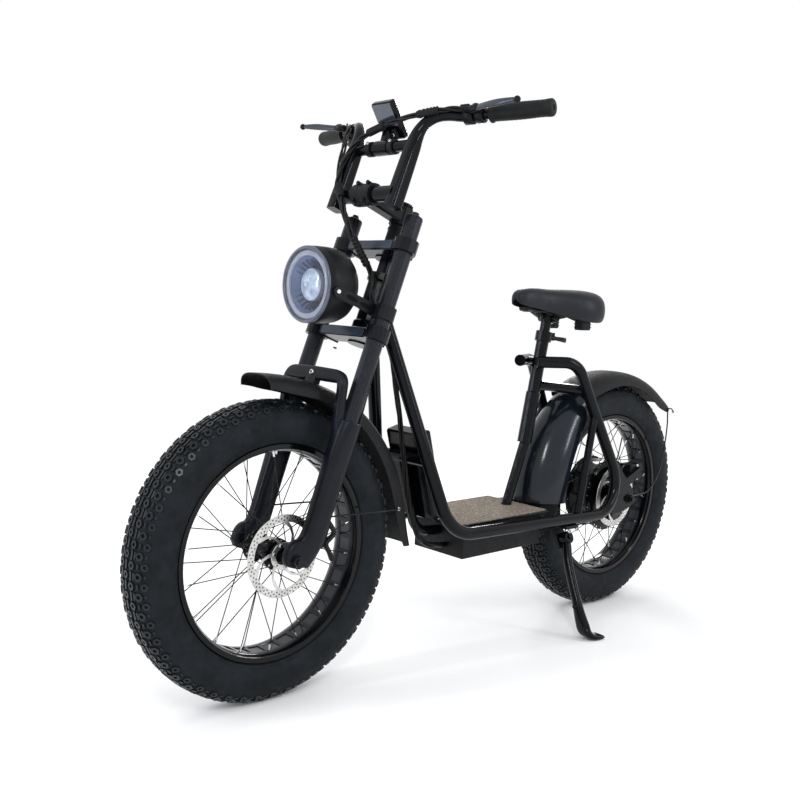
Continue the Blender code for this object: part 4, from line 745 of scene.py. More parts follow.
# Brake rotors
def make_rotor(end, matrix, body):
    """Braking track with its drill holes drawn as dark discs of painted shade, six slanted arms and a carrier with
    six bolts.
    """
    bm = bmesh.new()
    outer, inner, half = ROTOR_R, 0.0655, 0.001
    add_turned(bm, [(inner, -half), (outer - 0.0004, -half), (outer, -half * 0.5), (outer, half * 0.5),
                    (outer - 0.0004, half), (inner, half)],
               Matrix.Translation((0, ROTOR_Y, 0)) @ LAY, 180)
    # Drill holes: dark satin discs on both faces, painted shade; the track is not pierced
    for radius, shift in ((0.0765, 0.0), (0.0728, 0.5), (0.069, 0.0)):
        for index in range(36):
            a = (index + shift) * math.tau / 36
            for side in (1, -1):
                centre = Vector((radius * math.cos(a), ROTOR_Y + side * half, radius * math.sin(a)))
                out = Vector((0, side, 0))
                add_cylinder(bm, centre - out * 0.0001, centre + out * 0.00008, 0.0016, 8, material=1)
    for index in range(6):
        a = index * math.tau / 6 + 0.25
        points = []
        for share in (0.0, 0.25, 0.5, 0.75, 1.0):
            radius = 0.0215 + (0.0672 - 0.0215) * share
            turn = a - 0.72 * share + 0.1 * math.sin(math.pi * share)
            points.append(Vector((radius * math.cos(turn), ROTOR_Y, radius * math.sin(turn))))
        widths = (0.004, 0.0026, 0.0021, 0.0026, 0.0046)
        add_ribbon(bm, points, widths, half * 0.96)
    add_ring(bm, (0, ROTOR_Y - half, 0), (0, ROTOR_Y + half, 0), 0.0262, 0.0165, 48, 0.0002)
    for index in range(6):
        a = index * math.tau / 6 + 0.25
        base = Vector((0.0215 * math.cos(a), ROTOR_Y + half, 0.0215 * math.sin(a)))
        add_cylinder(bm, base, base + Vector((0, 0.0022, 0)), 0.0042, 12, 0.0038, 0.0005, material=2)
        # Each bolt's socket: a dark satin hexagon of painted shade
        add_cylinder(bm, base + Vector((0, 0.0021, 0)), base + Vector((0, 0.0024, 0)), 0.002, 6, material=1)
    add_piece(bm, f"{end}_rotor_disc", [STEEL, SATIN, ZINC], body, matrix, "steel", (f"{end}_rotor",), 34)


def add_ribbon(bm, points, widths, half):
    """A flat arm in the rotor's plane."""
    rows = []
    for index, point in enumerate(points):
        before, after = points[max(index - 1, 0)], points[min(index + 1, len(points) - 1)]
        run = (after - before).normalized()
        side = Vector((0, 1, 0)).cross(run)
        w = widths[index]
        rows.append([point + side * x + Vector((0, y, 0)) for x, y in
                     ((-w, -half), (w, -half), (w, half), (-w, half))])
    add_loft(bm, rows)


make_rotor("front", FRONT, "front_wheel")
make_rotor("rear", REAR, "rear_wheel")


# Saddle
# along the bike, half width, top, skirt's lower edge
SADDLE = ((0.374, 0.009, 0.8, 0.787), (0.369, 0.0165, 0.8085, 0.781), (0.358, 0.022, 0.8155, 0.777),
          (0.34, 0.0262, 0.8205, 0.774), (0.315, 0.03, 0.8215, 0.77), (0.285, 0.037, 0.82, 0.764),
          (0.255, 0.049, 0.8195, 0.756), (0.225, 0.066, 0.8205, 0.749), (0.195, 0.08, 0.8215, 0.744),
          (0.165, 0.088, 0.8215, 0.741), (0.14, 0.087, 0.82, 0.741), (0.12, 0.077, 0.8155, 0.744),
          (0.106, 0.059, 0.807, 0.75), (0.099, 0.033, 0.7955, 0.76))
# over the top from the left skirt to the right one, then back under the shell
SADDLE_ROUND = ((0.9, 1.0), (0.985, 0.8), (1.0, 0.55), (0.955, 0.3), (0.8, 0.1), (0.5, 0.015), (0.2, 0.0),
                (-0.2, 0.0), (-0.5, 0.015), (-0.8, 0.1), (-0.955, 0.3), (-1.0, 0.55), (-0.985, 0.8), (-0.9, 1.0),
                (-0.8, 0.97), (-0.7, 0.62), (-0.35, 0.42), (0.35, 0.42), (0.7, 0.62), (0.8, 0.97))


def make_saddle():
    bm = bmesh.new()
    add_loft(bm, [[(x, half * y_share, top - (top - low) * z_share) for y_share, z_share in SADDLE_ROUND]
                  for x, half, top, low in SADDLE])
    obj = add_piece(bm, "saddle_cover", VINYL, "seat", BIKE, "vinyl", ("saddle",), 60)
    soft = obj.modifiers.new("soft", "SUBSURF")
    soft.levels = soft.render_levels = 2


make_saddle()


# Headlight
HEAD_TILT = 20.5
LAMP = STEER @ Matrix.Translation((0.1755, 0, 0.5035)) @ Matrix.Rotation(math.radians(HEAD_TILT), 4, "Y") \
    @ Matrix.Rotation(math.pi / 2, 4, "Y")
LAMP_R = 0.074
LAMP_BOLT = Vector((0.156, 0.0, 0.499))


def make_lamp():
    bm = bmesh.new()
    add_turned(bm, [(LAMP_R - 0.0062, -0.03), (LAMP_R - 0.0062, 0.0004), (LAMP_R - 0.005, 0.0012),
                    (LAMP_R - 0.001, 0.0002), (LAMP_R + 0.0004, -0.0016), (LAMP_R + 0.0006, -0.004),
                    (LAMP_R - 0.0002, -0.005)], LAMP, 96, closed=False, material=1)
    add_turned(bm, [(LAMP_R - 0.0002, -0.005), (LAMP_R - 0.0002, -0.0062), (LAMP_R + 0.0006, -0.007),
                    (LAMP_R + 0.001, -0.025), (LAMP_R + 0.0006, -0.045), (LAMP_R - 0.0014, -0.062),
                    (LAMP_R - 0.0055, -0.074), (LAMP_R - 0.013, -0.083), (LAMP_R - 0.026, -0.0895),
                    (LAMP_R - 0.042, -0.0925), (0.02, -0.094), (0.0, -0.0944)], LAMP, 96, closed=False)
    bmesh.ops.remove_doubles(bm, verts=bm.verts, dist=0.00001)
    for side in (1, -1):
        boss = Vector((LAMP_BOLT.x, side * (LAMP_R - 0.008), LAMP_BOLT.z))
        seat = Vector((LAMP_BOLT.x, side * (LAMP_R + 0.002), LAMP_BOLT.z))
        add_cylinder(bm, STEER @ boss, STEER @ seat, 0.0082, 24)
    add_piece(bm, "headlight_shell", [SATIN, BEZEL], "steering", None, "matt_black",
          ("headlight_housing",), 45)
    bm = bmesh.new()
    rings = (([(LAMP_R - 0.0064, -0.003), (LAMP_R - 0.0078, -0.0064), (LAMP_R - 0.0085, -0.0066)], 0),
             ([(LAMP_R - 0.0085, -0.0066), (LAMP_R - 0.009, -0.0048), (LAMP_R - 0.0178, -0.0046),
               (LAMP_R - 0.0186, -0.007)], 1),
             ([(LAMP_R - 0.0186, -0.007), (0.05, -0.0105), (0.042, -0.018), (0.036, -0.0235), (0.0312, -0.025)], 2),
             ([(0.0312, -0.025), (0.0312, -0.015), (0.029, -0.0138)], 1),
             ([(0.029, -0.0138), (0.022, -0.0112), (0.014, -0.0092), (0.007, -0.0082), (0.0, -0.008)], 3))
    for profile, material in rings:
        add_turned(bm, profile, LAMP, 72, closed=False, material=material)
    for index in range(24):
        turn = LAMP @ Matrix.Rotation(index * math.tau / 24, 4, "Z")
        add_box(bm, (0.019, 0.001, 0.0022), turn @ Matrix.Translation((0.041, 0, -0.0165))
                @ Matrix.Rotation(math.radians(-38), 4, "Y"), material=2)
    for x, y, high in ((0.01, 0.006, 0.0086), (-0.01, 0.006, 0.0086), (0.0, -0.01, 0.0084)):
        add_box(bm, (0.007, 0.007, 0.001), LAMP @ Matrix.Translation((x, y, -high)), 0.0003, 1, 4)
    piece("headlight_inside", to_mesh(bm, "headlight_inside"), [BEZEL, HALO, DISH, BULB, MIRROR], "steering", None,
          "lens", (), 40)
    bm = bmesh.new()
    outer = [(0.0, 0.0038), (0.02, 0.0034), (0.04, 0.0022), (LAMP_R - 0.0066, -0.0004)]
    inner = [(LAMP_R - 0.0066, -0.0022), (0.04, 0.0004), (0.02, 0.0016), (0.0, 0.002)]
    add_turned(bm, outer + inner, LAMP, 96, closed=False)
    add_piece(bm, "headlight_glass", GLASS, "steering", None, "lens", ("headlight_lens",), 60)
    bm = bmesh.new()
    for side in (1, -1):
        seat = Vector((LAMP_BOLT.x, side * (LAMP_R + 0.0062), LAMP_BOLT.z))
        add_cylinder(bm, seat, seat + Vector((0, side * 0.001, 0)), 0.0092, 24, chamfer=0.0002, material=2)
        add_hex(bm, seat + Vector((0, side * 0.001, 0)), (0, side, 0), 0.0047, 0.0034)
        # The bracket's oblong holes, drawn as thin dark plates of painted shade
        for ahead in (0.082, 0.118):
            turns = [math.tau * (k + 0.5) / 20 for k in range(20)]
            outline = [(ahead + 0.011 * math.cos(a) + math.copysign(0.004, math.cos(a)),
                        0.5005 + 0.0042 * math.sin(a))
                       for a in turns]
            lay = Matrix.Translation((0, side * (LAMP_R + 0.0061), 0)) @ LAY_UP
            add_prism(bm, outline, -0.0001 * side, -0.0004 * side, lay, material=1)
        for level in (-0.0085, 0.0085):
            add_bolt(bm, (0.062, side * 0.101, 0.5 + level), (1, 0, 0), 0.0036, 0.003, 2, 1)
    add_piece(bm, "headlight_fixings", [ZINC, HOLE_SHADE, DARK], "steering", STEER, "steel")


make_lamp()


# Fork lowers
# ahead, to the side, along, half length, half width, squareness
LEG_ROWS = ((0.042, 0.092, 0.275, 0.024, 0.0228, 0.9), (0.0425, 0.0915, 0.245, 0.025, 0.021, 0.75),
            (0.042, 0.0908, 0.19, 0.0245, 0.0182, 0.65), (0.04, 0.09, 0.12, 0.024, 0.0162, 0.62),
            (0.0385, 0.089, 0.06, 0.024, 0.015, 0.62), (0.043, 0.0875, 0.03, 0.027, 0.0138, 0.62),
            (0.055, 0.0862, 0.01, 0.033, 0.013, 0.6), (0.06, 0.086, -0.004, 0.027, 0.013, 0.62),
            (0.06, 0.086, -0.014, 0.015, 0.0112, 0.7))
ARCH_ROWS = ((0.05, 0.087, 0.235, 0.015, 0.012, 0.5), (0.064, 0.087, 0.275, 0.012, 0.009, 0.5),
             (0.074, 0.087, 0.31, 0.01, 0.008, 0.5), (0.0795, 0.0868, 0.334, 0.0095, 0.0084, 0.5),
             (0.0815, 0.082, 0.348, 0.009, 0.0102, 0.5), (0.083, 0.07, 0.3535, 0.0085, 0.0125, 0.5),
             (0.085, 0.04, 0.354, 0.008, 0.0133, 0.5), (0.086, 0.0, 0.3545, 0.008, 0.0135, 0.5))
STANCHION = (0.042, 0.092)


def make_fork():
    bm = bmesh.new()
    for side in (1, -1):
        add_sweep(bm, mirrored(LEG_ROWS, side), (1, 0, 0), 28, steps=5)
        foot = Vector((STANCHION[0], side * STANCHION[1], 0.27))
        add_ring(bm, foot, foot + Vector((0, 0, 0.008)), 0.0236, 0.0178, 40, 0.0012)
        for y in (0.0725, 0.0992):
            add_cylinder(bm, (FORK_OFFSET, side * (y - 0.0006), 0), (FORK_OFFSET, side * (y + 0.0006), 0), 0.0132, 32)
    half = smooth_rows(ARCH_ROWS, 4)
    add_sweep(bm, half + mirrored(half[-2::-1], -1), (1, 0, 0), 20)
    for level in (0.115, 0.17):
        add_ring(bm, (0.017, 0.088, level - 0.004), (0.017, 0.088, level + 0.004), 0.0052, 0.0024, 16, 0.0004)
    add_piece(bm, "fork_lowers_cast", CAST, "steering", STEER, "matt_black", ("fork_lowers",), 50)
    bm = bmesh.new()
    add_bolt(bm, (0.0938, 0.0, 0.354), (1, 0, 0), 0.0056, 0.0028)
    for y in (-0.055, 0.055):
        add_bolt(bm, (0.015, y, 0.43), (0, 0, -1), 0.004, 0.0028, 2)
    for side in (1, -1):
        for level in (0.447, 0.465, 0.632, 0.65):
            add_bolt(bm, (0.03, side * 0.072, level), (-1, 0, 0), 0.0036, 0.03, 2)
    # Thin blue-grey plates on both crowns' front faces: painted reflection, not parts of the crowns
    for level in (0.456, 0.641):
        add_box(bm, (0.0008, 0.13, 0.017), Matrix.Translation((0.0553, 0, level)), 0.0003, 1, 3)
    add_piece(bm, "fork_bolts", [ZINC, HOLE_SHADE, DARK, CROWN_FRONT_REFLECTION], "steering", STEER, "steel")


make_fork()


# Fenders
# degrees from ahead, radius, half width, how far the edges turn down
FRONT_SHEET = ((84.0, 0.344, 0.05, 0.027), (88.0, 0.341, 0.055, 0.029), (94.0, 0.338, 0.0575, 0.033),
               (102.0, 0.3345, 0.058, 0.032), (112.0, 0.333, 0.058, 0.031), (126.0, 0.3325, 0.058, 0.035),
               (140.0, 0.3325, 0.058, 0.041), (156.0, 0.333, 0.058, 0.046), (170.0, 0.3345, 0.0575, 0.046),
               (179.0, 0.34, 0.056, 0.042), (185.0, 0.35, 0.0535, 0.033))
REAR_SHEET = ((61.5, 0.3215, 0.06, 0.03), (68.0, 0.322, 0.06, 0.035), (77.0, 0.323, 0.06, 0.037),
              (87.0, 0.3235, 0.06, 0.035), (99.0, 0.3245, 0.06, 0.0345), (111.0, 0.3262, 0.06, 0.038),
              (121.0, 0.3285, 0.06, 0.043), (129.0, 0.331, 0.06, 0.044), (136.0, 0.334, 0.0588, 0.032))
INNER_SHEET = ((2.0, 0.318, 0.07, 0.09), (14.0, 0.318, 0.07, 0.09), (26.0, 0.318, 0.069, 0.088),
               (38.0, 0.318, 0.067, 0.082), (49.0, 0.3175, 0.064, 0.07), (58.0, 0.3175, 0.06, 0.052),
               (64.0, 0.3185, 0.057, 0.038))
REAR_WIRE = ((-0.015, 0.095, 0.299), (-0.07, 0.083, 0.294), (-0.13, 0.075, 0.299), (-0.18, 0.071, 0.345),
             (-0.202, 0.069, 0.42), (-0.212, 0.066, 0.47), (-0.214, 0.0635, 0.498), (-0.222, 0.0605, 0.512),
             (-0.24, 0.0585, 0.511), (-0.252, 0.056, 0.502))
FRONT_WIRE = ((-0.048, 0.074, 0.066), (-0.09, 0.07, 0.066), (-0.18, 0.0665, 0.062), (-0.274, 0.062, 0.0575),
              (-0.29, 0.059, 0.057))
SHEET_THICK = 0.0022
WIRE_R = 0.0018


def across_of(power, steps):
    """Shares across a sheet and down its turned edges: a power of 1 is a half circle."""
    turns = [math.pi * (k / steps - 0.5) for k in range(steps + 1)]
    return [(math.copysign(abs(math.sin(t)) ** power, t), 1 - abs(math.cos(t)) ** power) for t in turns]


def make_sheet(name, rows, across, material, slot, replaced, body, matrix, wires=(), more=None):
    bm = bmesh.new()
    grid = []
    for degrees, radius, half, drop in smooth_rows(rows, 5):
        c, s = math.cos(math.radians(degrees)), math.sin(math.radians(degrees))
        grid.append([bm.verts.new(((radius - drop * down) * c, half * y, (radius - drop * down) * s))
                     for y, down in across])
    faces = []
    for a, b in zip(grid, grid[1:]):
        for k in range(len(a) - 1):
            faces.append(bm.faces.new((a[k], a[k + 1], b[k + 1], b[k])))
    bmesh.ops.recalc_face_normals(bm, faces=faces)
    middle = grid[len(grid) // 2][len(across) // 2]
    if middle.normal.dot(middle.co) < 0:
        bmesh.ops.reverse_faces(bm, faces=faces)
    bmesh.ops.solidify(bm, geom=faces, thickness=SHEET_THICK)
    for side in (1, -1):
        for wire in wires:
            add_tube(bm, [Vector((x, side * y, z)) for x, y, z in curve_points(wire, 36)], WIRE_R, 10, 1)
            x, y, z = wire[-1]
            add_bolt(bm, (x, side * (y - 0.001), z), (0, side, 0), 0.0042, 0.003, 2, 3)
    if more:
        more(bm)
    add_piece(bm, name, [material, DARK, ZINC, HOLE_SHADE], body, matrix, slot, replaced, 60)


def fender_tab(bm):
    """The tab that the arch carries, from the fender's sheet up."""
    to_wheel = FRONT.inverted() @ STEER
    add_box(bm, (0.016, 0.03, 0.032), to_wheel @ Matrix.Translation((0.086, 0, 0.337)), 0.0015)


REAR_WHEEL_ROWS = [(x, y, z - WHEEL_R) for x, y, z in REAR_WIRE]
SQUARE = across_of(0.72, 18)
ROUND = across_of(1.0, 24)
make_sheet("front_fender_sheet", FRONT_SHEET, SQUARE, PLASTIC, "matt_black", ("front_fender",), "steering", FRONT,
           (FRONT_WIRE,), fender_tab)
make_sheet("rear_fender_sheet", REAR_SHEET, SQUARE, PLASTIC, "matt_black", ("rear_fender",), "frame", REAR,
           (REAR_WHEEL_ROWS,))
# The inner mudguard's blue tint is painted reflection
make_sheet("inner_mudguard_sheet", INNER_SHEET, ROUND, MUDGUARD_AND_SHEEN, "gloss_black", ("inner_mudguard",), "frame", REAR)


# Handlebar, levers and what they carry
GRIP_LINE = ((0.045, 0.2175, 0.9136), (0.0164, 0.33, 0.9284))
STEM_ALONG = 0.726
BAR_AHEAD = 0.103
UPPER_BAR = (0.098, 0.832)
BAR_R = 0.0111
# low, high, radius, sides, radius on top, chamfer, material
CAP_STEPS = ((0.698, 0.7036, 0.0168, 36, 0.0168, 0.001, 0), (0.703, 0.7072, 0.0135, 36, 0.0105, 0.0008, 0),
             (0.707, 0.713, 0.0068, 24, 0.0068, 0.0012, 1))
# ahead, to the side, along, half width, half depth, squareness
BAR_ROWS = ((0.1012, 0.088, 0.6972, 0.0153, 0.0143, 0.4), (0.1005, 0.088, 0.74, 0.0151, 0.0141, 0.4),
            (0.0992, 0.088, 0.82, 0.0141, 0.0131, 0.45), (0.0988, 0.0886, 0.842, 0.013, 0.0126, 0.6),
            (0.098, 0.0925, 0.863, 0.0119, 0.0118, 0.85), (0.0945, 0.102, 0.881, 0.0112, 0.0112, 1.0),
            (0.087, 0.118, 0.895, 0.0111, 0.0111, 1.0), (0.076, 0.138, 0.902, 0.0111, 0.0111, 1.0),
            (0.0583, 0.165, 0.9067, 0.0111, 0.0111, 1.0), (0.045, 0.2175, 0.9136, 0.0111, 0.0111, 1.0),
            (0.0166, 0.3292, 0.9282, 0.0111, 0.0111, 1.0))


def make_handlebar():
    bm = bmesh.new()
    for side in (1, -1):
        add_sweep(bm, mirrored(BAR_ROWS, side), (1, 0, 0), 28, steps=6)
    add_cylinder(bm, (BAR_AHEAD, -0.088, STEM_ALONG), (BAR_AHEAD, 0.088, STEM_ALONG), 0.0159, 48)
    add_cylinder(bm, (UPPER_BAR[0], -0.088, UPPER_BAR[1]), (UPPER_BAR[0], 0.088, UPPER_BAR[1]), BAR_R, 40)
    add_piece(bm, "handlebar_tubes", GLOSS, "steering", STEER, "gloss_black", ("handlebar",), 50)
    bm = bmesh.new()
    for y in (-0.015, 0.015):
        add_ring(bm, (BAR_AHEAD, y - 0.0095, STEM_ALONG), (BAR_AHEAD, y + 0.0095, STEM_ALONG), 0.0231, 0.02, 40,
                 0.0012)
        for level in (-0.019, 0.019):
            add_bolt(bm, (BAR_AHEAD - 0.002, y, STEM_ALONG + level), (1, 0, 0), 0.0045, 0.022, 1, 2)
    for y in (-0.012, 0.012):
        for level in (-0.009, 0.009):
            add_bolt(bm, (-0.019, y, STEM_ALONG + level), (-1, 0, 0), 0.004, 0.006, 1, 2)
    add_cylinder(bm, (0, 0, 0.748), (0, 0, 0.7545), 0.0185, 32, chamfer=0.0012)
    add_ring(bm, (0, 0, 0.6545), (0, 0, 0.705), 0.018, 0.0145, 40, 0.001)
    for level in (0.664, 0.696):
        add_ring(bm, (0, 0, level - 0.003), (0, 0, level + 0.003), 0.0192, 0.0178, 40, 0.0008)
    add_bolt(bm, (0, 0, 0.7545), (0, 0, 1), 0.0055, 0.003, 1, 2)
    add_piece(bm, "stem_fixings", [SATIN, DARK, HOLE_SHADE], "steering", STEER, "matt_black")


def make_stanchion_caps():
    """Caps and knobs on the stanchions, and the edges of the crowns' clamps round them."""
    bm = bmesh.new()
    for side in (1, -1):
        def at(level):
            return STANCHION[0], side * STANCHION[1], level

        for low, high, radius, sides, far, chamfer, material in CAP_STEPS:
            add_cylinder(bm, at(low), at(high), radius, sides, far, chamfer, material)
        for level in (0.628, 0.6545, 0.443, 0.4695):
            add_ring(bm, at(level - 0.001), at(level + 0.001), 0.0192, 0.0176, 36, 0.0003)
    add_piece(bm, "stanchion_caps", [SATIN, DARK], "steering", STEER, "gloss_black")


# points of each blade from its pivot to its ball, and the half height there, by side
LEVER_BLADES = {1: ((0.074, 0.2, 0.911, 0.006), (0.083, 0.235, 0.908, 0.0066), (0.085, 0.266, 0.9084, 0.0072),
                    (0.0815, 0.295, 0.9115, 0.0052), (0.0795, 0.306, 0.9126, 0.0038)),
                -1: ((0.076, 0.205, 0.909, 0.006), (0.085, 0.235, 0.909, 0.0066), (0.093, 0.265, 0.9098, 0.007),
                     (0.1, 0.29, 0.909, 0.0052), (0.103, 0.3, 0.908, 0.0038))}


def make_lever(word, side):
    """Clamp, perch and hooked blade with a ball, the cable's adjuster, and a control pod beside the grip."""
    bm = bmesh.new()
    start, end = map(Vector, mirrored(GRIP_LINE, side))
    run = (end - start).normalized()
    clamp = start - run * 0.022
    blade = [(a, side * y, u, high, 0.0038, 0.8) for a, y, u, high in LEVER_BLADES[side]]
    pivot, tip = Vector(blade[0][:3]), Vector(blade[-1][:3])
    add_ring(bm, clamp - run * 0.008, clamp + run * 0.008, 0.0162, BAR_R + 0.0002, 40, 0.001)
    perch = [(*(clamp + Vector((0.01, 0, 0.003))), 0.01, 0.008, 0.6),
             (*((clamp + pivot) / 2 + Vector((0.006, -side * 0.002, 0.002))), 0.012, 0.0072, 0.6),
             (*(pivot + Vector((0.001, -side * 0.006, 0.0))), 0.011, 0.0066, 0.6),
             (*(pivot + Vector((0.002, side * 0.008, 0.0))), 0.007, 0.0056, 0.7)]
    add_sweep(bm, perch, (0, side, 0.3), 20, steps=4)
    add_sweep(bm, blade, (0, 0, 1), 16, 1, 5)
    add_ball(bm, tip + (tip - pivot).normalized() * 0.002, 0.0066)
    add_bolt(bm, pivot + Vector((0.0, 0, 0.005)), (0, 0, 1), 0.0048, 0.003, 2, 3)
    throat = pivot - run * 0.012
    add_cylinder(bm, throat, throat - run * 0.016, 0.0046, 16, chamfer=0.0004)
    for step in range(4):
        ring = throat - run * (0.004 + step * 0.003)
        add_ring(bm, ring, ring - run * 0.0014, 0.0053, 0.004, 18, 0.0003)
    pod = start - run * 0.046
    add_ring(bm, pod - run * 0.01, pod + run * 0.01, 0.0172, BAR_R + 0.0002, 40, 0.0016)
    ahead = Vector((1, 0, 0))
    add_box(bm, (0.022, 0.02, 0.015), axes(ahead, run, ahead.cross(run), pod + Vector((0.012, 0, side * 0.006))),
            0.0025, 3)
    if side < 0:
        thumb = pod + Vector((0.004, 0, -0.017))
        add_sweep(bm, [(*thumb, 0.01, 0.003, 0.6),
                       (*(thumb + run * 0.014 + Vector((-0.006, 0, -0.006))), 0.0085, 0.0028, 0.6),
                       (*(thumb + run * 0.026 + Vector((-0.014, 0, -0.008))), 0.007, 0.0026, 0.7)],
                  (1, 0, 0), 14, steps=4)
    else:
        add_cylinder(bm, pod + Vector((0.012, 0, 0.013)), pod + Vector((0.012, 0, 0.0155)), 0.005, 20, chamfer=0.0006,
                     material=1)
    add_piece(bm, f"brake_lever_{word}_body", [SATIN, LEVER, ZINC, HOLE_SHADE], "steering", STEER, "matt_black",
              (f"brake_lever_{word}",), 45)


def make_display():
    """Glass, edge and bolts over the display's case, and a plate on its back whose blue is painted sheen."""
    bm = bmesh.new()
    tilt = Matrix.Translation((0.106, 0, 0.89)) @ Matrix.Rotation(math.radians(HEAD_TILT + 33), 4, "Y")
    add_box(bm, (0.001, 0.052, 0.06), tilt @ Matrix.Translation((-0.0082, 0, 0.006)), 0.0003, 1, 0)
    add_box(bm, (0.0008, 0.054, 0.012), tilt @ Matrix.Translation((-0.0081, 0, -0.031)), 0.0003, 1, 1)
    for y in (-0.015, 0.0, 0.015):
        add_cylinder(bm, tilt @ Vector((-0.0084, y, -0.031)), tilt @ Vector((-0.0094, y, -0.031)), 0.004, 18,
                     chamfer=0.0003, material=1)
    # Plate on the case's back in the screen's glossy blue: painted sheen
    add_box(bm, (0.0012, 0.054, 0.048), tilt @ Matrix.Translation((0.0084, 0, 0.013)), 0.0004, 1, 0)
    add_box(bm, (0.009, 0.038, 0.022), tilt @ Matrix.Translation((0.011, 0, -0.026)), 0.0015, 2, 1)
    for y in (-0.011, 0.011):
        add_bolt(bm, tilt @ Vector((0.0154, y, -0.026)), tilt.to_3x3() @ Vector((1, 0, 0)), 0.004, 0.0024, 2, 3)
    for y in (-0.038, 0.029):
        add_ring(bm, (UPPER_BAR[0], y - 0.007, UPPER_BAR[1]), (UPPER_BAR[0], y + 0.007, UPPER_BAR[1]), 0.0152, 0.0112,
                 36, 0.001, 1)
        add_bolt(bm, (UPPER_BAR[0] + 0.0135, y, UPPER_BAR[1] + 0.006), (1, 0, 0.2), 0.0036, 0.003, 2, 3)
    add_piece(bm, "display_details", [SCREEN_AND_SHEEN, PLASTIC, ZINC, HOLE_SHADE], "steering", STEER, "gloss_black")


make_handlebar()
make_stanchion_caps()
for word, side in (("left", 1), ("right", -1)):
    make_lever(word, side)
make_display()


# Saddle's hardware, rails and side stand
SADDLE_ROD = ((0.338, 0.01, 0.78), (0.324, 0.018, 0.768), (0.3, 0.022, 0.7665), (0.26, 0.022, 0.7665),
              (0.225, 0.023, 0.762), (0.198, 0.033, 0.752), (0.174, 0.047, 0.743))
SEAT_BOLT = (0.253, 0.033, 0.7665)


def make_saddle_frame():
    bm = bmesh.new()
    for side in (1, -1):
        add_tube(bm, curve_points(mirrored(SADDLE_ROD, side), 60), 0.0034, 12)
        add_box(bm, (0.034, 0.026, 0.04), Matrix.Translation((0.174, side * 0.049, 0.744)), 0.0035, 3, 1)
        for level in (0.731, 0.739):
            add_box(bm, (0.035, 0.027, 0.0022), Matrix.Translation((0.174, side * 0.049, level)), 0.0008, 2, 1)
    add_box(bm, (0.03, 0.028, 0.013), Matrix.Translation((0.33, 0, 0.775)) @ Matrix.Rotation(0.3, 4, "Y"), 0.004, 3)
    add_box(bm, (0.012, 0.022, 0.005), Matrix.Translation((0.324, 0, 0.768)), 0.0016, 2, 2)
    add_cylinder(bm, (0.246, -0.027, 0.75), (0.246, 0.027, 0.75), 0.0095, 28, chamfer=0.001)
    add_box(bm, (0.03, 0.056, 0.007), Matrix.Translation((0.253, 0, 0.7755)), 0.0016, 2)
    right, left = mirrored((SEAT_BOLT,), -1)[0], SEAT_BOLT
    add_cylinder(bm, right, left, 0.0105, 28, chamfer=0.001)
    for end, side in ((left, 1), (right, -1)):
        add_hex(bm, end, (0, side, 0), 0.0075, 0.005, 3)
    add_piece(bm, "saddle_hardware", [DARK, PLASTIC, PALE, ZINC], "seat", BIKE, "matt_black", ("saddle_frame",), 40)


# corner of each rail's centre line, and the radius of its bend there
RAIL_CORNERS = ((0.799, 0.021, 0.735, 0.0), (0.6726, 0.115, 0.289, 0.09), (0.005, 0.103, 0.264, 0.08),
                (0.215, 0.072, 0.646, 0.055), (0.312, 0.027, 0.646, 0.0))
PLATE_OUTLINE = ((0.08, 0.39), (0.05, 0.38), (-0.016, 0.315), (-0.021, 0.293), (-0.012, 0.274), (0.03, 0.262),
                 (0.1, 0.264), (0.09, 0.29), (0.072, 0.32), (0.07, 0.35))
RAIL_R = 0.014
HEAD_WALL = 0.0195
HEAD_STEPS = 20
FLOOR_GAP = 0.0002


def bent_path(corners, steps):
    """Points of a path with rounded corners, which starts a little before the first one in short steps."""
    path = [Vector(row[:3]) for row in corners]
    points = [path[0] + (path[1] - path[0]) * 0.02 * step for step in range(-4, HEAD_STEPS - 4)]
    for before, here, after, row in zip(path, path[1:], path[2:], corners[1:-1]):
        back, on = (before - here).normalized(), (after - here).normalized()
        half = back.angle(on) / 2
        centre = here + (back + on).normalized() * row[3] / math.sin(half)
        reach = row[3] / math.tan(half)
        first, last = here + back * reach - centre, here + on * reach - centre
        turn = first.angle(last)
        for k in range(steps + 1):
            start, end = math.sin(turn * (1 - k / steps)), math.sin(turn * k / steps)
            points.append(centre + (first * start + last * end) / math.sin(turn))
    return points + [path[-1]]


def make_rail(word, side):
    """Bent tube that ends in the head tube's wall, its axle plate, and its end cap."""
    bm = bmesh.new()
    route = bent_path(mirrored(RAIL_CORNERS, side), 18)
    rings = add_tube(bm, route, RAIL_R, 32)
    to_head = STEER.inverted() @ BIKE
    for vert in {vert for ring in rings[:HEAD_STEPS] for vert in ring}:
        place = to_head @ vert.co
        reach = math.hypot(place.x, place.y)
        if reach < HEAD_WALL:
            place.x, place.y = place.x * HEAD_WALL / reach, place.y * HEAD_WALL / reach
            vert.co = to_head.inverted() @ place
    end, run = route[-1], (route[-1] - route[-2]).normalized()
    add_cylinder(bm, end - run * 0.0005, end + run * 0.002, 0.0138, 32, chamfer=0.001)
    # On the left cap a dark disc of painted shade stands for its small hole
    if side > 0:
        add_cylinder(bm, end + run * 0.0019, end + run * 0.0022, 0.0035, 16, material=1)
    add_prism(bm, PLATE_OUTLINE, -0.003, 0.003, Matrix.Translation((0, side * 0.098, 0)) @ LAY_UP)
    add_piece(bm, f"frame_rail_{word}_tube", [GLOSS, HOLE_SHADE], "frame", BIKE, "gloss_black",
              (f"frame_rail_{word}",), 40)


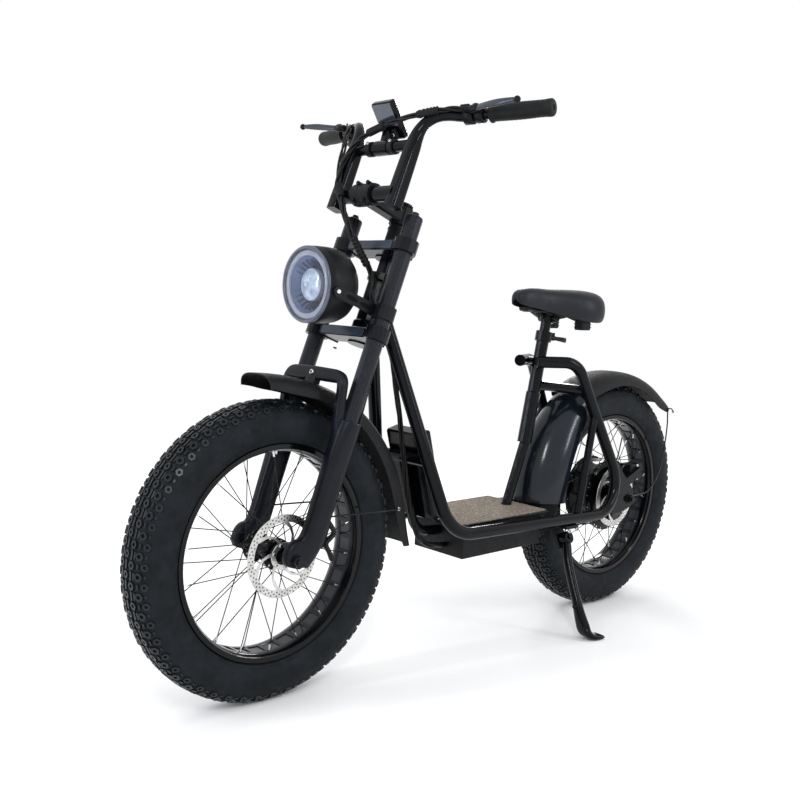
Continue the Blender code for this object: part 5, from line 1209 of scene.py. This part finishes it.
def make_stand():
    """The stand's leg: an eye on the bolt, a bent round leg, and a foot pressed flat on the floor."""
    bm = bmesh.new()
    floor = BIKE.inverted() @ Vector((*(BIKE @ Vector((0.29, 0.22, 0.0))).to_2d(), 0.0))
    rows = [(0.2585, 0.1048, 0.2135, 0.011, 0.011, 1.0), (0.262, 0.11, 0.204, 0.011, 0.011, 1.0),
            (0.272, 0.123, 0.175, 0.0112, 0.0112, 1.0), (0.281, 0.144, 0.135, 0.011, 0.011, 1.0),
            (0.289, 0.168, 0.092, 0.0112, 0.0112, 1.0), (0.298, 0.19, 0.055, 0.015, 0.0122, 0.8),
            (0.303, 0.206, floor.z + 0.02, 0.0185, 0.011, 0.7), (0.296, 0.215, floor.z + 0.01, 0.021, 0.008, 0.7),
            (0.278, 0.221, floor.z + 0.0064, 0.019, 0.0044, 0.7),
            (0.268, 0.222, floor.z + 0.0058, 0.017, 0.0036, 0.7)]
    add_sweep(bm, rows, (0.3, 1, 0), 24, steps=5)
    axis = Vector((0, 0.904, 0.428)).normalized()
    pivot = Vector((0.256, 0.1, 0.225))
    add_ring(bm, pivot - axis * 0.0125, pivot + axis * 0.0125, 0.015, 0.0056, 32, 0.001)
    add_cylinder(bm, (0.29, 0.174, 0.083), (0.308, 0.174, 0.083), 0.0046, 18, chamfer=0.0008)
    bmesh.ops.recalc_face_normals(bm, faces=bm.faces)
    ground = BIKE.inverted().to_3x3() @ Vector((0, 0, 1))
    for vert in bm.verts:
        low = (BIKE @ vert.co).z
        if low < FLOOR_GAP:
            vert.co += ground * (FLOOR_GAP - low)
    piece("stand_leg_bent", to_mesh(bm, "stand_leg_bent"), GLOSS, "side_stand", BIKE, "matt_black", ("stand_leg",),
          45)


make_saddle_frame()
make_stand()
for word, side in (("left", 1), ("right", -1)):
    make_rail(word, side)


# Grips
def make_grip(word, side):
    bm = bmesh.new()
    start, end = map(Vector, mirrored(GRIP_LINE, side))
    length = (end - start).length
    profile = [(0.0114, 0.0), (0.0175, 0.0), (0.018, 0.0006), (0.018, 0.003), (0.0165, 0.0042)]
    for index in range(1, 25):
        share = index / 25
        swell = 0.0158 + 0.001 * math.sin(math.pi * share) ** 2 + 0.0009 * max(0.0, (share - 0.8) / 0.2) ** 2
        place = 0.0042 + (length + 0.002 - 0.0042) * share
        profile.append((swell - (0.0003 if index % 2 else 0.0), place))
    profile += [(0.0168, length + 0.004), (0.0164, length + 0.0075), (0.0146, length + 0.0096),
                (0.006, length + 0.01), (0.005, length + 0.008), (0.0, length + 0.008)]
    add_turned(bm, profile, between(start, end), 40, closed=False)
    add_piece(bm, f"grip_{word}_sleeve", GRIP, "steering", STEER, "rubber", (f"grip_{word}",), 50)


for word, side in (("left", 1), ("right", -1)):
    make_grip(word, side)


# Cables
def steer_points(rows):
    return [STEER @ Vector(row) for row in rows]


def bike_points(rows):
    return [BIKE @ Vector(row) for row in rows]


# ahead of the steering axis, to the left, up along it
LEFT_RUN = ((0.0735, 0.176, 0.913), (0.09, 0.145, 0.906), (0.106, 0.11, 0.895), (0.119, 0.05, 0.879),
            (0.119, 0.01, 0.871), (0.117, -0.02, 0.865), (0.116, -0.048, 0.856), (0.117, -0.073, 0.835),
            (0.119, -0.086, 0.8), (0.123, -0.08, 0.76), (0.126, -0.06, 0.73), (0.123, -0.04, 0.7),
            (0.102, -0.026, 0.662), (0.07, -0.01, 0.623), (0.042, 0.01, 0.588))
RIGHT_RUN = ((0.074, -0.178, 0.914), (0.085, -0.155, 0.898), (0.102, -0.13, 0.86), (0.113, -0.108, 0.81),
             (0.123, -0.082, 0.76), (0.128, -0.064, 0.73), (0.12, -0.044, 0.698), (0.098, -0.028, 0.658),
             (0.066, -0.008, 0.62), (0.04, 0.012, 0.586))
HEAD_RUN = ((0.033, 0.026, 0.56), (0.03, 0.033, 0.53))
BRAKE_RUN = ((0.033, 0.038, 0.53), (0.026, 0.064, 0.5), (0.02, 0.08, 0.46), (0.018, 0.085, 0.4), (0.015, 0.088, 0.32),
             (0.012, 0.089, 0.25), (0.014, 0.089, 0.19), (0.015, 0.089, 0.15), (0.006, 0.084, 0.11),
             (-0.001, 0.072, 0.088))
# forward, to the left and up, in bike coordinates
DOWN_RUN = ((0.806, 0.034, 0.725), (0.795, 0.033, 0.69), (0.78, 0.032, 0.637), (0.765, 0.031, 0.574),
            (0.746, 0.03, 0.4885), (0.729, 0.029, 0.4015), (0.706, 0.028, 0.318), (0.672, 0.027, 0.26),
            (0.62, 0.026, 0.244), (0.59, 0.025, 0.242))
REAR_BRAKE_RUN = ((0.33, 0.07, 0.242), (0.3, 0.074, 0.246), (0.23, 0.078, 0.248), (0.15, 0.085, 0.252),
                  (0.08, 0.086, 0.27), (0.035, 0.083, 0.315), (0.005, 0.074, 0.36), (-0.02, 0.068, 0.374))
MOTOR_RUN = ((0.33, 0.056, 0.242), (0.27, 0.064, 0.244), (0.2, 0.076, 0.244), (0.12, 0.08, 0.252),
             (0.06, 0.082, 0.276), (0.016, 0.08, 0.286), (-0.002, 0.074, 0.29))
BRAKE_CABLE_R = 0.0025
MOTOR_CABLE_R = 0.0032


def make_harness():
    """Control wires and brake cables from both bars, bound together and led down the frame."""
    bm = bmesh.new()
    first = curve_points(steer_points(LEFT_RUN + HEAD_RUN) + bike_points(DOWN_RUN), 240)
    second = curve_points(steer_points(RIGHT_RUN + HEAD_RUN) + bike_points(DOWN_RUN), 220)
    for route in strands(first, 3, 0.0032, 9.0):
        add_tube(bm, route, 0.0027, 8)
    for route in strands(second, 3, 0.0038, 5.0):
        add_tube(bm, route, 0.0025, 8)
    for low, high in ((14, 23), (38, 54), (88, 98), (115, 127)):
        add_wrap(bm, first[low:high], 0.0084, (high - low) * 2 // 3, 1)
    obj = add_piece(bm, "cable_harness", [CABLE, PLASTIC], None, None, "black_plastic", (), 60)
    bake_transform(obj)


def make_brake_cables():
    bm = bmesh.new()
    add_tube(bm, curve_points(steer_points(BRAKE_RUN), 90), BRAKE_CABLE_R, 10)
    add_piece(bm, "front_brake_cable", CABLE, "steering", None, "black_plastic", (), 60)
    bm = bmesh.new()
    for run, radius in ((REAR_BRAKE_RUN, BRAKE_CABLE_R), (MOTOR_RUN, MOTOR_CABLE_R)):
        add_tube(bm, curve_points(bike_points(run), 90), radius, 10)
    add_piece(bm, "rear_cables", CABLE, "frame", None, "black_plastic", (), 60)


def make_frame_details():
    """Screws of the box, axle washers, caliper bolts and the collar's and stand's fixings."""
    bm = bmesh.new()
    for x in (0.38, 0.55):
        for side in (1, -1):
            add_bolt(bm, (x, side * 0.0768, 0.262), (0, side, 0), 0.0034, 0.0014, 2, 1)
    for side in (1, -1):
        add_ring(bm, (0, side * 0.1012, WHEEL_R), (0, side * 0.1026, WHEEL_R), 0.015, 0.0062, 28, 0.0003, 2)
    for x, z in ((-0.048, 0.374), (-0.048, 0.34)):
        add_bolt(bm, (x, 0.086, z), (0, 1, 0), 0.0042, 0.0034, 0, 1)
    add_sweep(bm, ((0.242, 0.002, 0.704, 0.007, 0.006, 0.7), (0.225, 0.008, 0.701, 0.005, 0.0042, 0.7),
                   (0.205, 0.012, 0.6985, 0.0058, 0.0036, 0.7), (0.19, 0.011, 0.6965, 0.0062, 0.0032, 0.7)),
              (0, 0, 1), 16, 2, 4)
    for x in (0.242, 0.27):
        add_bolt(bm, (x, 0.118, 0.248), (0, 1, 0.2), 0.005, 0.004, 0, 1)
    add_piece(bm, "frame_fixings", [ZINC, HOLE_SHADE, DARK], "frame", BIKE, "steel")
    bm = bmesh.new()
    for level in (0.042, 0.078):
        add_bolt(bm, (0.005, 0.0696, level), (0, 1, 0), 0.004, 0.0026, 0, 1)
    add_cylinder(bm, (0.001, 0.07, 0.082), (-0.001, 0.073, 0.098), 0.0042, 16, chamfer=0.0004, material=2)
    add_sweep(bm, ((-0.008, 0.065, 0.086, 0.005, 0.005, 0.6), (-0.03, 0.066, 0.069, 0.0045, 0.0045, 0.6),
                   (-0.017, 0.066, 0.046, 0.006, 0.005, 0.6), (-0.033, 0.066, 0.031, 0.0045, 0.0045, 0.6),
                   (-0.046, 0.066, 0.019, 0.006, 0.005, 0.6)), (0, 1, 0), 14, 2, 4)
    add_piece(bm, "front_caliper_fixings", [ZINC, HOLE_SHADE, DARK], "steering", STEER, "steel")


make_harness()
make_brake_cables()
make_frame_details()


# Stage and light
def make_stage():
    bm = bmesh.new()
    bmesh.ops.create_grid(bm, x_segments=1, y_segments=1, size=30.0)
    mesh = to_mesh(bm, "floor")
    mesh.materials.append(shader_of("floor_paint", (1.0, 1.0, 1.0), 0.9, specular=0.0)[0])
    floor = bpy.data.objects.new("floor", mesh)
    bpy.context.scene.collection.objects.link(floor)


def make_world():
    world = bpy.data.worlds.new("world")
    bpy.context.scene.world = world
    world.use_nodes = True
    tree = world.node_tree
    background = tree.nodes["Background"]
    background.inputs["Color"].default_value = (1.0, 1.0, 1.0, 1.0)
    background.inputs["Strength"].default_value = 1.0


def area_light(name, place, target, size, power, colour=(1.0, 1.0, 1.0)):
    data = bpy.data.lights.new(name, "AREA")
    data.shape = "RECTANGLE"
    data.size, data.size_y = size
    data.energy = power
    data.color = colour
    lamp = bpy.data.objects.new(name, data)
    bpy.context.scene.collection.objects.link(lamp)
    lamp.location = place
    lamp.rotation_euler = (Vector(place) - Vector(target)).to_track_quat("Z", "Y").to_euler()


make_stage()
make_world()
area_light("key", (2.2, 2.4, 2.4), (0, 0, 0.5), (0.22, 0.9), 30.0)
area_light("front", (3.0, -0.8, 1.5), (0.2, 0, 0.6), (0.12, 1.8), 24.0, (0.8, 0.88, 1.0))
area_light("side", (-1.4, 3.0, 1.6), (-0.2, 0, 0.5), (0.12, 1.8), 24.0, (0.84, 0.91, 1.0))
area_light("back", (-2.4, -2.0, 1.8), (0, 0, 0.5), (0.3, 1.2), 20.0)
bpy.context.scene.view_settings.view_transform = "Standard"


def corners(box):
    return [[round(value, 5) for value in corner] for corner in box]
